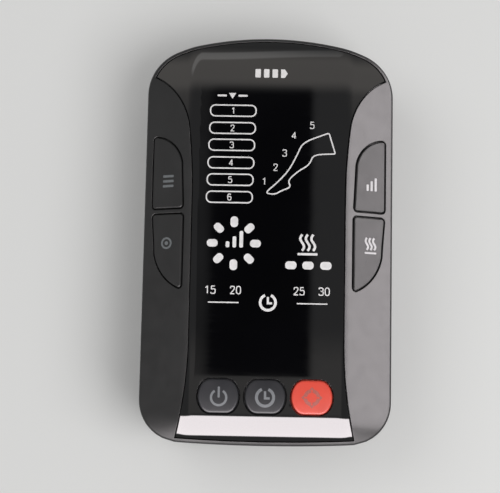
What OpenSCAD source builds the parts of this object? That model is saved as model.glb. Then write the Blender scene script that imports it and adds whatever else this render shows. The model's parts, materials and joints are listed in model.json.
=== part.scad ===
// Hand-held controller of a leg compression wrap: air pump, valves, battery, keys.
// Millimetres. The back lies on z = 0, +Y is the domed top end, +Z leaves the face.

/* [Casing] */
// width across the two sides
body_w = 96; // [80:1:116]
// length from the bottom end to the crown of the top end
body_l = 158; // [132:1:190]
// depth from the flat back to the tops of the three buttons
body_t = 42; // [36:1:50]
// thickness of the moulded walls
wall = 2.2; // [1.8:0.1:2.8]
// height of the seam between the rear and the front shell
seam_z = 22; // [18:1:26]
// angle at which the two cheeks fall away from the panel
cheek_tilt = 24; // [18:1:28]
// radius of the rear edges
rear_r = 9; // [6:0.5:11]

/* [Front panel] */
// thickness of the glossy panel
panel_t = 2.0; // [1.6:0.1:2.4]
// thickness of the tape under the panel
tape_t = 0.3; // [0.2:0.05:0.4]
// thickness of the deck under the tape
deck_t = 1.7; // [1.4:0.1:2]
// casing rim left round the panel
rim_w = 1.5; // [1.2:0.1:2]
// open gap round the panel
panel_gap = 0.3; // [0.2:0.05:0.5]
// half width of the panel at its waist
panel_half = 29.4; // [26:0.2:32]

/* [Keys and buttons] */
// round buttons: radius before the flats are cut
button_r = 7.7; // [6.4:0.1:8.4]
// distance between two round buttons
button_pitch = 17.5; // [16.8:0.1:20]
// how far the buttons stand out of the panel
button_proud = 0.8; // [0.5:0.1:1.2]
// how far the side keys stand out of the cheeks
key_proud = 0.4; // [0.3:0.1:0.8]
// open gap round every cap
cap_gap = 0.5; // [0.3:0.05:0.6]
// travel of a key from rest to its stop
key_travel = 0.65; // [0.4:0.05:0.8]
// edge length of a switch case
switch_w = 6; // [5:0.5:7]

/* [Pump] */
// radius of the motor can
motor_r = 11.6; // [9:0.2:12]
// radius of the motor shaft
shaft_r = 1.0; // [0.8:0.1:1.2]
// running clearance of turning and sliding pieces
run_gap = 0.05; // [0.03:0.01:0.08]

/* [Valves and ports] */
// distance between two air sockets, and between two valves
valve_pitch = 11; // [9:0.5:12]
// radius of an air socket
port_r = 2.2; // [1.8:0.1:2.4]
// radius of a valve plunger
plunger_r = 2.2; // [1.6:0.1:2.4]

/* [Battery] */
// radius of a battery cell
cell_r = 9.2; // [7.5:0.1:9.4]
// length of a battery cell
cell_l = 65; // [52:1:66]

/* [Hidden] */
$fn = 96;
fine = 360;
// the casing at which the inner pieces were laid out; they follow it from there
base_w = 96;
base_l = 158;
base_t = 42;
kx = body_w / base_w;
ky = body_l / base_l;
kz = body_t / base_t;
half_w = body_w / 2;
half_l = body_l / 2;
face_z = body_t - button_proud;
// arcs are this much larger than tangent ones, so that they cross the lines they join
lap = 0.01;
// plan outline: two wide arcs and four corners
top_arc_r = 108;
top_corner_r = 17.5;
low_arc_r = 600;
low_corner_r = 16;
top_cx = half_w - top_corner_r;
top_cy = half_l - top_arc_r + sqrt(pow(top_arc_r - top_corner_r, 2) - pow(top_cx, 2));
low_cx = half_w - low_corner_r;
low_cy = low_arc_r - half_l - sqrt(pow(low_arc_r - low_corner_r, 2) - pow(low_cx, 2));
// front surface: flat middle, rounded blend, straight cheek; domed ends
blend_r = 12;
blend_x = (panel_half - 2.4) * kx;
slope_x = blend_x + blend_r * sin(cheek_tilt);
slope_z = face_z - blend_r * (1 - cos(cheek_tilt));
dome_r = 45;
dome_y = half_l - 24;
lip_r = 16;
lip_y = 12 - half_l;
// stack under the panel, counted down from the face
deck_z = face_z - panel_t - tape_t;
roof = panel_t + tape_t + deck_t;
roof_z = face_z - roof;
catch_gap = 0.1;
catch_t = 1.0;
catch_w = 1.0;
stem_out = 0.9;
switch_h = 3;
board_t = 1.6;
catch_z = roof_z - catch_gap;
tip_z = catch_z - catch_t;
case_top_z = tip_z - stem_out;
board_top_z = case_top_z - switch_h;
board_low_z = board_top_z - board_t;
stem_r = 1.7;
stem_len = 2.2;
button_y = -60.6 * ky;
flat_cut = 1.4;
button_flat = button_r - flat_cut;
// side keys, in the plane of a cheek: u outwards, v along the body, n out of the cheek
key_x = 38.8 * kx;
key_z = slope_z - (key_x - slope_x) * tan(cheek_tilt);
key_corner = 1.2;
// upper keys: the inner side leans outwards by high_lean up to a wide turn
high_in = -6.46 * kx;
high_out = 6.45 * kx;
high_lo = 10.6 * ky;
high_hi = 38.35 * ky;
high_lean = 1.27 * kx;
high_turn = -5.82 * kx;
high_round = 12.4 * min(kx, ky);
// lower keys: the outer side leans inwards by low_lean down to a wide turn
low_in = -6.68 * kx;
low_out = 6.24 * kx;
low_lo = -20 * ky;
low_hi = 8.15 * ky;
low_lean = 2.02 * kx;
low_turn = 5.46 * kx;
low_end = -21.34 * ky;
low_round = 17.8 * min(kx, ky);
key_catch_n = -wall - catch_gap;
key_tip_n = key_catch_n - catch_t;
key_case_n = key_tip_n - stem_out;
key_board_n = key_case_n - switch_h;
key_board_t = 1.2;
key_board_w = 13 * kx;
high_v = 24.5 * ky;
low_v = -6 * ky;
key_board_lo = -26.5 * ky;
key_board_hi = 44 * ky;
key_post_r = 1.4;
key_post_in = 2.2;
// window and light box under the panel
window_x = panel_half * kx - 5.4;
window_lo = -36 * ky;
window_hi = 67 * ky;
box_gap = 0.4;
tape_in = 0.5;
tape_clear = 0.85;
display_w = 55 * kx;
display_lo = -70 * ky;
display_hi = 69 * ky;
board_post_x = window_x + 1.9;
board_post_r = 1.4;
board_post_y = [-53, -10, 35, 58];
// one entry per lit sign: centre x, centre y, width, height
lit = [
    [0, 63.4, 13, 4],
    [-14.5, 48.3, 16, 4.4],
    [-14.5, 41.5, 16, 4.4],
    [-14.5, 34.9, 16, 4.4],
    [-14.5, 28.0, 16, 4.4],
    [-14.5, 21.4, 16, 4.4],
    [-14.5, 14.7, 16, 4.4],
    [-0.8, 21.6, 4, 7],
    [3.6, 30, 4, 8],
    [9.4, 38, 6, 8],
    [18, 38, 8, 8],
    [13, 24, 9, 12],
    [-12.9, -3, 19, 18],
    [15.1, -4.6, 9, 8],
    [8.9, -11, 4.6, 3.2],
    [15.4, -11, 4.6, 3.2],
    [20.6, -11, 3.6, 3.2],
    [-19.5, -20.6, 5.5, 4],
    [-11.6, -20.6, 5.5, 4],
    [0.4, -25.5, 7.4, 7.4],
    [11.6, -20.6, 5.5, 4],
    [19.5, -20.6, 5.5, 4]
];
// case screws
screw_x = 39.4 * kx;
screw_low_y = -65.5 * ky;
screw_high_y = 57.5 * ky;
post_r = 3.7;
screw_r = 1.4;
screw_head_r = 2.7;
screw_head_t = 2;
screw_sink = 8;
screw_gap = 0.3;
screw_in = 1.6;
screw_places = [
    [screw_x, screw_low_y],
    [-screw_x, screw_low_y],
    [screw_x - screw_in, screw_high_y],
    [screw_in - screw_x, screw_high_y]
];
// openings of the back: two groups of cooling slots, and a shallow bare recess
vent_l = 18 * kx;
vent_w = 1.3 * ky;
vent_pitch = 2.5 * ky;
pump_vent_y = -21.4 * ky;
board_vent_y = -9 * ky;
recess_w = 48 * kx;
recess_l = 26 * ky;
recess_y = -60 * ky;
recess_deep = 0.4;
// clearance of pieces that are fitted together by hand
fit_gap = 0.1;
// battery
cell_z = wall + 1.2 + cell_r * min(ky, kz);
cell_rr = cell_r * min(ky, kz);
cell_half = cell_l / 2 * kx;
cell_low_y = -65 * ky;
cell_high_y = cell_low_y + 2 * cell_rr + 0.8;
cradle_end = 1.6;
// pump, on an axis along Y
pump_x = -27 * kx;
can_r = motor_r * min(kx, kz);
sleeve_t = 1.0;
pump_z = wall + can_r + sleeve_t + 0.2;
motor_y0 = -30 * ky;
motor_y1 = -2 * ky;
can_t = 0.8;
cap_t = 2.4;
bush_r = 2.6;
bush_t = 2.6;
core_r = can_r - 3.2;
magnet_in = can_r - 2.6;
magnet_out = can_r - can_t - fit_gap;
frame_y0 = motor_y1;
frame_y1 = 11 * ky;
disc_y0 = frame_y0 + bush_t + 0.4;
disc_t = 3.2;
disc_r = can_r * 0.5;
wobble_y0 = 7 * ky;
wobble_t = 2.2;
film_t = 1.4;
plate_y0 = frame_y1 + film_t;
plate_t = 3;
head_y0 = plate_y0 + plate_t;
head_t = 5;
head_y1 = head_y0 + head_t;
nozzle_r = 2.0;
nozzle_bore = 1.2;
nozzle_x = -23.5 * kx;
nozzle_len = 4;
head_screw_r = 1.4;
head_screw_in = 2.2;
head_screw_at = [30, 150, 270];
hose_t = 1.1;
hose_gap = 0.05;
lobe_d = can_r * 0.52;
lobe_r = can_r * 0.3;
// port block, manifold and valves
socket_y = 49.5 * ky;
contact_y = 41 * ky;
block_z0 = 0.8;
block_z1 = wall + 5.2 * kz;
block_half = 2 * valve_pitch * kx + 6;
block_y0 = 37 * ky;
block_y1 = 55 * ky;
block_lip = 1.8;
ring_tube = 0.6;
ring_mid = port_r + ring_tube + 0.05;
ring_z = 2.9;
manifold_z1 = block_z1 + 6.2 * kz;
manifold_y0 = 44.5 * ky;
manifold_y1 = 57.5 * ky;
hose_z = block_z1 + nozzle_r + hose_t + 0.35;
yoke_w = valve_pitch * kx - 0.9;
yoke_l = 9 * ky;
yoke_h = 13 * kz;
yoke_t = 1.3;
rod_r = plunger_r * min(kx, ky);
valve_lift = 0.8;
rod_z0 = manifold_z1 + 0.08;
rod_len = yoke_h - yoke_t - valve_lift - 1.2;
contact_r = 1.0;
contact_pitch = 6 * kx;
// charging inlet
jack_z = 14.8 * kz;
jack_w = 9;
jack_y0 = 63.5 * ky;
jack_nose_r = 4;
jack_bore_r = 2.75;
jack_pin_r = 1.05;
jack_depth = 9.5;
jack_h = 11 * kz;
// main board
main_x0 = -9.5 * kx;
main_x1 = 42.5 * kx;
main_y0 = -31 * ky;
main_y1 = 33 * ky;
main_z = wall + 3.2;
stake_r = 1.3;
stake_foot_r = 2.6;
board_vent_x = main_x0 + 8 * kx;
main_holes = [
    [main_x0 + 4, main_y0 + 4],
    [main_x1 - 4, main_y0 + 4],
    [main_x0 + 4, main_y1 - 4],
    [main_x1 - 4, main_y1 - 4]
];
// one entry per part on the board: x, y, width, length, height
chips = [
    [10, -18, 12, 12, 1.6],
    [28, -20, 7, 7, 1.2],
    [8, 4, 5, 6.5, 1.8],
    [18, 5, 5, 6.5, 1.8],
    [33, 2, 9, 9, 5],
    [30, -8, 6, 4, 2.2],
    [-2, -8, 4, 4, 3]
];
plugs = [
    [16, 25, 17, 6, 5],
    [-3, 16, 6, 9, 6],
    [36, 18, 6, 12, 6],
    [12, -27.5, 10, 5, 6]
];
ribbon_w = 12 * kx;
ribbon_t = 0.5;
gasket_in = 0.7;
gasket_w = 0.7;
gasket_h = 1.6;

// ---- shared outlines ----

module both_sides() {
    children();
    mirror([1, 0, 0])
        children();
}

// wedge between two mirrored rays that start at the corner centres
module wedge(cx, cy, oy) {
    len = norm([cx, cy - oy]);
    dx = cx / len * 60;
    dy = (cy - oy) / len * 60;
    low = cy - sign(dy);
    polygon([
        [-cx, low], [cx, low], [cx, cy], [cx + dx, cy + dy], [-cx - dx, cy + dy], [-cx, cy]
    ]);
}

// plan outline of the casing, drawn in by d
module outline(d) {
    intersection() {
        square([body_w - 2 * d, 2 * body_l], center = true);
        union() {
            translate([-half_w + d, low_cy])
                square([body_w - 2 * d, top_cy - low_cy]);
            both_sides() {
                translate([top_cx, top_cy])
                    circle(r = top_corner_r - d + lap);
                translate([low_cx, low_cy])
                    circle(r = low_corner_r - d + lap);
            }
            intersection() {
                translate([0, half_l - top_arc_r])
                    circle(r = top_arc_r - d, $fn = fine);
                wedge(top_cx, top_cy, half_l - top_arc_r);
            }
            intersection() {
                translate([0, low_arc_r - half_l])
                    circle(r = low_arc_r - d, $fn = fine);
                wedge(low_cx, low_cy, low_arc_r - half_l);
            }
        }
    }
}

// a side view of the casing's back: flat, with rounded rear edges
module rear_round(half, d) {
    intersection() {
        translate([-half + d, d])
            square([2 * (half - d), body_t]);
        union() {
            translate([-half + d, rear_r])
                square([2 * (half - d), body_t]);
            translate([-half + rear_r, d])
                square([2 * (half - rear_r), body_t]);
            for (s = [-1, 1])
                translate([s * (half - rear_r), rear_r])
                    circle(r = rear_r - d + lap);
        }
    }
}

// height of a cheek line at x, drawn in by s
function cheek_z(x, s) = slope_z - (x - slope_x) * tan(cheek_tilt) - s / cos(cheek_tilt);

// cross-section seen along Y, front drawn in by t
module cross_round(t) {
    arc = blend_r - t;
    ex = blend_x + arc * sin(cheek_tilt);
    ez = face_z - blend_r + arc * cos(cheek_tilt);
    far = half_w + 8;
    polygon([
        [-far, -1], [far, -1], [far, cheek_z(far, t)], [ex, ez], [blend_x, face_z - t],
        [-blend_x, face_z - t], [-ex, ez], [-far, cheek_z(far, t)]
    ]);
    for (s = [-1, 1])
        translate([s * blend_x, face_z - blend_r])
            circle(r = arc + lap);
}

// the same with a flat roof at depth t and cheeks drawn in by s
module cross_sharp(t, s) {
    far = half_w + 8;
    kx0 = slope_x + (slope_z - s / cos(cheek_tilt) - face_z + t) / tan(cheek_tilt);
    polygon([
        [-far, -1], [far, -1], [far, cheek_z(far, s)], [kx0, face_z - t],
        [-kx0, face_z - t], [-far, cheek_z(far, s)]
    ]);
}

// side view seen along X, front drawn in by t
module long_round(t) {
    translate([lip_y, -1])
        square([dome_y - lip_y, face_z - t + 1]);
    intersection() {
        translate([dome_y, face_z - dome_r])
            circle(r = dome_r - t + lap, $fn = fine);
        translate([dome_y - 1, -1])
            square([dome_r, body_t + 2]);
    }
    translate([lip_y, face_z - lip_r])
        circle(r = lip_r - t + lap);
    translate([lip_y - lip_r, -1])
        square([lip_r + 1, face_z - lip_r + 1]);
}

module along_y() {
    rotate([90, 0, 0])
        linear_extrude(height = body_l + 40, center = true)
            children();
}

module along_x() {
    rotate([90, 0, 90])
        linear_extrude(height = body_w + 40, center = true)
            children();
}

// the whole outside of the casing
module outside() {
    intersection() {
        linear_extrude(height = body_t)
            outline(0);
        along_y()
            intersection() {
                cross_round(0);
                rear_round(half_w, 0);
            }
        along_x()
            intersection() {
                long_round(0);
                rear_round(half_l, 0);
            }
    }
}

// the hollow of the casing
module hollow() {
    intersection() {
        linear_extrude(height = body_t)
            outline(wall);
        along_y()
            intersection() {
                cross_sharp(roof, wall);
                rear_round(half_w, wall);
            }
        along_x()
            intersection() {
                long_round(roof);
                rear_round(half_l, wall);
            }
    }
}

// everything below the front surface drawn in by t, wider than the casing
module under_front(t) {
    intersection() {
        along_y()
            cross_round(t);
        along_x()
            long_round(t);
    }
}

module above(z) {
    translate([-body_w, -body_l, z])
        cube([2 * body_w, 2 * body_l, body_t + 10]);
}

// ---- panel ----

// edge between the panel and a cheek: gentle arcs, then a quarter turn at the top
edge_x = panel_half * kx;
turn_r = 27 * kx;
turn_a0 = 7;
turn_a1 = 60;
turn_x = edge_x + 1.657 * kx;
turn_y = 42 * ky;
edge_low = [for (i = [0 : 10]) [edge_x + pow(4 * i, 2) / 300 * kx, (-40 - 4 * i) * ky]];
edge_mid = [for (i = [0 : 6]) [edge_x + pow(4 * i, 2) / 440 * kx, (15 + 4 * i) * ky]];
edge_top = [for (i = [0 : 14])
    let (a = turn_a0 + (turn_a1 - turn_a0) * i / 14)
        [turn_x + turn_r * (cos(turn_a0) - cos(a)), turn_y + turn_r * (sin(a) - sin(turn_a0))]];

// one cheek in plan, grown by g
module cheek(g) {
    far = half_w + 20;
    last = edge_top[14];
    run = far - last[0];
    polygon(concat(
        [for (i = [10 : -1 : 0]) [edge_low[i][0] - g, edge_low[i][1]]],
        [for (p = edge_mid) [p[0] - g, p[1]]],
        [for (i = [0 : 14])
            let (a = turn_a0 + (turn_a1 - turn_a0) * i / 14)
                [edge_top[i][0] - g * cos(a), edge_top[i][1] + g * sin(a)]],
        [[far, last[1] + run / tan(turn_a1) + g], [far, edge_low[10][1]]]
    ));
}

// the panel in plan, drawn in by g
module panel_area(g) {
    difference() {
        outline(rim_w + g);
        both_sides()
            cheek(g);
    }
}

// a button in plan, grown by g
module button_area(g) {
    intersection() {
        circle(r = button_r + g);
        square([4 * button_r, 2 * (button_flat + g)], center = true);
    }
}

module at_buttons() {
    for (i = [-1, 0, 1])
        translate([i * button_pitch * kx, button_y, 0])
            children();
}

module button_holes(g) {
    at_buttons()
        linear_extrude(height = body_t + 5)
            button_area(g);
}

module face_panel() {
    color("black")
        difference() {
            intersection() {
                linear_extrude(height = body_t)
                    panel_area(panel_gap);
                under_front(0);
            }
            under_front(panel_t);
            button_holes(cap_gap);
        }
}

// tape on the flat part of the deck, left and right of the window and round the buttons
module panel_tape() {
    color("gray")
        difference() {
            translate([tape_in - blend_x, lip_y + tape_in, deck_z])
                cube([2 * (blend_x - tape_in), dome_y - lip_y - 2 * tape_in, tape_t]);
            button_holes(tape_clear);
            translate([-window_x, window_lo, 0])
                cube([2 * window_x, window_hi - window_lo, body_t]);
        }
}

// ---- side keys ----

module at_cheek() {
    translate([key_x, 0, key_z])
        rotate([0, cheek_tilt, 0])
            children();
}

// what is left outside a rounded corner, to be cut away; sx and sy point at the corner
module corner_waste(x, y, r, sx, sy) {
    difference() {
        translate([x - (sx > 0 ? r : 1), y - (sy > 0 ? r : 1)])
            square([r + 1, r + 1]);
        translate([x - sx * r, y - sy * r])
            circle(r = r, $fn = fine);
    }
}

module high_key_area(g) {
    lo = high_lo - g;
    hi = high_hi + g;
    in = high_in - g;
    out = high_out + g;
    difference() {
        polygon([[in, lo], [out, lo], [out, hi], [in + high_lean, hi]]);
        corner_waste(high_turn - g, hi, high_round + g, -1, 1);
        corner_waste(in, lo, key_corner + g, -1, -1);
        corner_waste(out, lo, key_corner + g, 1, -1);
        corner_waste(out, hi, key_corner + g, 1, 1);
    }
}

module low_key_area(g) {
    lo = low_lo - g;
    hi = low_hi + g;
    in = low_in - g;
    out = low_out + g;
    difference() {
        polygon([[in, lo], [out - low_lean, lo], [out, hi], [in, hi]]);
        corner_waste(low_turn + g, low_end - g, low_round + g, 1, -1);
        corner_waste(in, hi, key_corner + g, -1, 1);
        corner_waste(in, lo, key_corner + g, -1, -1);
        corner_waste(out, hi, key_corner + g, 1, 1);
    }
}

module slab(n0, n1) {
    translate([0, 0, n0])
        linear_extrude(height = n1 - n0)
            children();
}

module high_key() {
    color("dimgray")
        at_cheek() {
            slab(key_catch_n, key_proud)
                high_key_area(0);
            slab(key_tip_n, key_catch_n)
                high_key_area(catch_w);
        }
}

module low_key() {
    color("dimgray")
        at_cheek() {
            slab(key_catch_n, key_proud)
                low_key_area(0);
            slab(key_tip_n, key_catch_n)
                low_key_area(catch_w);
        }
}

module level_key() {
    high_key();
}

module heat_key() {
    low_key();
}

module mode_key() {
    mirror([1, 0, 0])
        high_key();
}

module part_key() {
    mirror([1, 0, 0])
        low_key();
}

module stem() {
    color("black")
        translate([0, 0, -stem_len])
            cylinder(r = stem_r, h = stem_len);
}

module key_stem(v) {
    at_cheek()
        translate([0, v, key_tip_n])
            stem();
}

module level_stem() {
    key_stem(high_v);
}

module heat_stem() {
    key_stem(low_v);
}

module mode_stem() {
    mirror([1, 0, 0])
        key_stem(high_v);
}

module part_stem() {
    mirror([1, 0, 0])
        key_stem(low_v);
}

module button(i) {
    translate([i * button_pitch * kx, button_y, 0]) {
        slab(catch_z, body_t)
            button_area(0);
        slab(tip_z, catch_z)
            button_area(catch_w - 0.2);
    }
}

module power_button() {
    color("dimgray")
        button(-1);
}

module timer_button() {
    color("dimgray")
        button(0);
}

module start_button() {
    color("tomato")
        button(1);
}

module button_stem(i) {
    translate([i * button_pitch * kx, button_y, tip_z])
        stem();
}

module power_stem() {
    button_stem(-1);
}

module timer_stem() {
    button_stem(0);
}

module start_stem() {
    button_stem(1);
}

// case of a switch, its top at z = 0
module switch_case() {
    difference() {
        translate([-switch_w / 2, -switch_w / 2, -switch_h])
            cube([switch_w, switch_w, switch_h]);
        translate([0, 0, stem_out - stem_len - key_travel - 0.35])
            cylinder(r = stem_r + run_gap, h = 5);
    }
}

module switch_cases() {
    color("silver") {
        at_buttons()
            translate([0, 0, case_top_z])
                switch_case();
        both_sides()
            at_cheek()
                for (v = [high_v, low_v])
                    translate([0, v, key_case_n])
                        switch_case();
    }
}

module key_boards() {
    color("darkgreen")
        both_sides()
            at_cheek()
                translate([-key_board_w / 2, key_board_lo, key_board_n - key_board_t])
                    cube([key_board_w, key_board_hi - key_board_lo, key_board_t]);
}

// ---- shells ----

module key_pockets() {
    both_sides()
        at_cheek() {
            slab(-wall - 2, 4)
                high_key_area(cap_gap);
            slab(-wall - 2, 4)
                low_key_area(cap_gap);
            slab(-9, -wall)
                high_key_area(catch_w + 0.3);
            slab(-9, -wall)
                low_key_area(catch_w + 0.3);
        }
}

module gasket_ring(g) {
    difference() {
        outline(gasket_in - g);
        outline(gasket_in + gasket_w + g);
    }
}

module seam_gasket() {
    color("black")
        slab(seam_z - gasket_h / 2, seam_z + gasket_h / 2)
            gasket_ring(0);
}

module gasket_groove() {
    slab(seam_z - gasket_h / 2 - 0.05, seam_z + gasket_h / 2 + 0.05)
        gasket_ring(0.05);
}

// posts from the roof to the display board
module board_posts() {
    for (y = board_post_y)
        both_sides()
            translate([board_post_x, y * ky, board_top_z])
                cylinder(r = board_post_r, h = body_t);
}

module key_board_posts() {
    both_sides()
        at_cheek()
            for (v = [key_board_lo + key_post_in, key_board_hi - key_post_in])
                translate([0, v, key_board_n])
                    cylinder(r = key_post_r, h = -key_board_n - wall / 2);
}

module front_shell() {
    color("dimgray")
        difference() {
            union() {
                difference() {
                    intersection() {
                        outside();
                        above(seam_z);
                    }
                    hollow();
                }
                intersection() {
                    union() {
                        for (p = screw_places)
                            translate([p[0], p[1], seam_z])
                                cylinder(r = post_r, h = body_t);
                        board_posts();
                    }
                    along_x()
                        long_round(roof - 0.6);
                    along_y()
                        cross_sharp(roof - 0.6, wall - 0.6);
                }
                key_board_posts();
            }
            difference() {
                linear_extrude(height = body_t + 5)
                    panel_area(0);
                under_front(panel_t + tape_t);
            }
            button_holes(cap_gap);
            translate([-window_x, window_lo, roof_z - 8])
                cube([2 * window_x, window_hi - window_lo, 30]);
            key_pockets();
            gasket_groove();
            for (p = screw_places)
                translate([p[0], p[1], seam_z - 1])
                    cylinder(r = screw_r + run_gap, h = 9);
        }
}

// two ribs with a round seat for the pump
module pump_seats() {
    for (y = [-25 * ky, -9 * ky])
        difference() {
            translate([pump_x - can_r * 0.8, y, wall / 2])
                cube([can_r * 1.6, 2, can_r * 0.8]);
            translate([pump_x, y - 1, pump_z])
                rotate([-90, 0, 0])
                    cylinder(r = can_r + sleeve_t + fit_gap, h = 5);
        }
}

module rear_shell() {
    color("dimgray")
        difference() {
            union() {
                difference() {
                    outside();
                    hollow();
                    above(seam_z);
                }
                intersection() {
                    outside();
                    union() {
                        for (p = screw_places)
                            translate([p[0], p[1], wall / 2])
                                cylinder(r = post_r, h = seam_z - wall / 2);
                        for (p = main_holes)
                            translate([p[0], p[1], wall / 2]) {
                                cylinder(r = stake_foot_r, h = main_z - wall / 2);
                                cylinder(r = stake_r, h = main_z + board_t + 0.6 - wall / 2);
                            }
                        translate([-jack_w / 2 + 1, jack_y0 + 1, wall / 2])
                            cube([
                                jack_w - 2,
                                half_l - wall - jack_y0,
                                jack_z - jack_h / 2 - wall / 2
                            ]);
                    }
                }
                pump_seats();
            }
            for (p = screw_places)
                translate([p[0], p[1], -1]) {
                    cylinder(r = screw_r + screw_gap, h = seam_z + 2);
                    cylinder(r = screw_head_r + screw_gap, h = screw_sink + 1);
                }
            gasket_groove();
            translate([-block_half + block_lip, block_y0 + block_lip, -1])
                cube([2 * (block_half - block_lip), block_y1 - block_y0 - 2 * block_lip, 8]);
            translate([0, half_l + 2, jack_z])
                rotate([90, 0, 0])
                    cylinder(r = jack_nose_r + fit_gap, h = wall + 4);
            for (i = [0 : 4])
                translate([pump_x - vent_l / 2, pump_vent_y + vent_pitch * i, -1])
                    cube([vent_l, vent_w, wall + 2]);
            for (i = [0 : 3])
                translate([board_vent_x, board_vent_y + vent_pitch * i, -1])
                    cube([vent_l, vent_w, wall + 2]);
            translate([-recess_w / 2, recess_y, -1])
                cube([recess_w, recess_l, 1 + recess_deep]);
        }
}

module case_screws() {
    color("silver")
        for (p = screw_places)
            translate([p[0], p[1], screw_sink]) {
                cylinder(r = screw_r, h = seam_z - screw_sink + 6);
                difference() {
                    translate([0, 0, -screw_head_t])
                        cylinder(r = screw_head_r, h = screw_head_t);
                    translate([0, 0, -screw_head_t - 1])
                        cylinder(r = 1.2, h = 2.2, $fn = 6);
                }
            }
}

// ---- ports, manifold, valves ----

module at_valves() {
    for (i = [-2 : 2])
        translate([i * valve_pitch * kx, socket_y, 0])
            children();
}

module air_port_block() {
    color("black")
        difference() {
            union() {
                translate([-block_half, block_y0, wall])
                    cube([2 * block_half, block_y1 - block_y0, block_z1 - wall]);
                translate([
                    -block_half + block_lip + fit_gap,
                    block_y0 + block_lip + fit_gap,
                    block_z0
                ])
                    cube([
                        2 * (block_half - block_lip - fit_gap),
                        block_y1 - block_y0 - 2 * (block_lip + fit_gap),
                        wall
                    ]);
            }
            at_valves() {
                translate([0, 0, -1])
                    cylinder(r = port_r, h = block_z1);
                cylinder(r = 0.8, h = 20);
                translate([0, 0, ring_z - ring_tube - 0.05])
                    cylinder(r = ring_mid + ring_tube + 0.05, h = 2 * ring_tube + 0.1);
            }
            for (i = [-1.5 : 1.5])
                translate([i * contact_pitch, contact_y, -1])
                    cylinder(r = contact_r, h = 20);
        }
}

module port_o_rings() {
    color("red")
        at_valves()
            translate([0, 0, ring_z])
                rotate_extrude()
                    translate([ring_mid, 0])
                        circle(r = ring_tube);
}

module heater_contact_pins() {
    color("gold")
        for (i = [-1.5 : 1.5])
            translate([i * contact_pitch, contact_y, 0.3])
                cylinder(r = contact_r, h = block_z1 + 2.4);
}

module nozzle(len) {
    difference() {
        cylinder(r = nozzle_r, h = len);
        translate([0, 0, -1])
            cylinder(r = nozzle_bore, h = len + 2);
    }
}

module air_manifold() {
    color("ivory") {
        difference() {
            translate([-block_half, manifold_y0, block_z1])
                cube([2 * block_half, manifold_y1 - manifold_y0, manifold_z1 - block_z1]);
            at_valves()
                cylinder(r = 0.8, h = 40);
            translate([nozzle_x, manifold_y0 - 1, hose_z])
                rotate([-90, 0, 0])
                    cylinder(r = nozzle_bore, h = 6 * ky);
        }
        translate([nozzle_x, manifold_y0 - nozzle_len, hose_z])
            rotate([-90, 0, 0])
                nozzle(nozzle_len);
    }
}

module valve_yokes() {
    color("silver")
        at_valves()
            translate([0, 0, manifold_z1])
                difference() {
                    translate([-yoke_w / 2, -yoke_l / 2, 0])
                        cube([yoke_w, yoke_l, yoke_h]);
                    translate([-yoke_w / 2 + yoke_t, -yoke_l, yoke_t])
                        cube([yoke_w - 2 * yoke_t, 2 * yoke_l, yoke_h - 2 * yoke_t]);
                    translate([0, 0, -1])
                        cylinder(r = rod_r + run_gap, h = yoke_t + 2);
                }
}

module valve_coils() {
    color("chocolate")
        at_valves()
            translate([0, 0, manifold_z1 + yoke_t])
                difference() {
                    cylinder(r = yoke_w / 2 - yoke_t - 0.1, h = yoke_h - 2 * yoke_t);
                    translate([0, 0, -1])
                        cylinder(r = rod_r + run_gap, h = yoke_h);
                }
}

module valve_rod(i) {
    color("gray")
        translate([i * valve_pitch * kx, socket_y, rod_z0])
            cylinder(r = rod_r, h = rod_len);
}

module valve_rod_1() {
    valve_rod(-2);
}

module valve_rod_2() {
    valve_rod(-1);
}

module valve_rod_3() {
    valve_rod(0);
}

module valve_rod_4() {
    valve_rod(1);
}

module valve_rod_5() {
    valve_rod(2);
}

module supply_hose() {
    color("lightblue")
        translate([nozzle_x, head_y1, hose_z])
            rotate([-90, 0, 0])
                difference() {
                    cylinder(r = nozzle_r + hose_gap + hose_t, h = manifold_y0 - head_y1);
                    translate([0, 0, -1])
                        cylinder(r = nozzle_r + hose_gap, h = manifold_y0);
                }
}

// ---- charging inlet ----

module charge_jack_body() {
    color("black")
        difference() {
            union() {
                translate([-jack_w / 2, jack_y0, jack_z - jack_h / 2])
                    cube([jack_w, half_l - wall - 0.35 - jack_y0, jack_h]);
                translate([0, half_l - wall - 1, jack_z])
                    rotate([-90, 0, 0])
                        cylinder(r = jack_nose_r, h = wall + 0.7);
            }
            translate([0, half_l - 0.3 - jack_depth, jack_z])
                rotate([-90, 0, 0])
                    cylinder(r = jack_bore_r, h = jack_depth + 2);
            translate([0, half_l - 0.3 - jack_depth - 2, jack_z])
                rotate([-90, 0, 0])
                    cylinder(r = jack_pin_r, h = 4);
        }
}

module charge_jack_pin() {
    color("silver")
        translate([0, half_l - 0.3 - jack_depth - 2, jack_z])
            rotate([-90, 0, 0])
                cylinder(r = jack_pin_r, h = jack_depth + 1);
}

// ---- display ----

module display_board() {
    color("darkgreen")
        difference() {
            translate([-display_w / 2, display_lo, board_low_z])
                cube([display_w, display_hi - display_lo, board_t]);
            for (x = [-1, 1])
                translate([x * (display_w / 2 - 3), display_lo + 3, board_low_z - 1])
                    cylinder(r = 1.2, h = board_t + 2);
        }
}

module light_box() {
    color("white")
        difference() {
            intersection() {
                translate([-window_x + box_gap, window_lo + box_gap, board_top_z])
                    cube([2 * (window_x - box_gap), window_hi - window_lo - 2 * box_gap, 12]);
                under_front(panel_t + 0.05);
            }
            for (c = lit)
                translate([(c[0] - c[2] / 2) * kx, (c[1] - c[3] / 2) * ky, board_top_z - 1])
                    cube([c[2] * kx, c[3] * ky, 14]);
        }
}

module display_leds() {
    color("white")
        for (c = lit)
            translate([c[0] * kx - 1, c[1] * ky - 0.6, board_top_z])
                cube([2, 1.2, 0.8]);
}

// ---- main board ----

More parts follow.
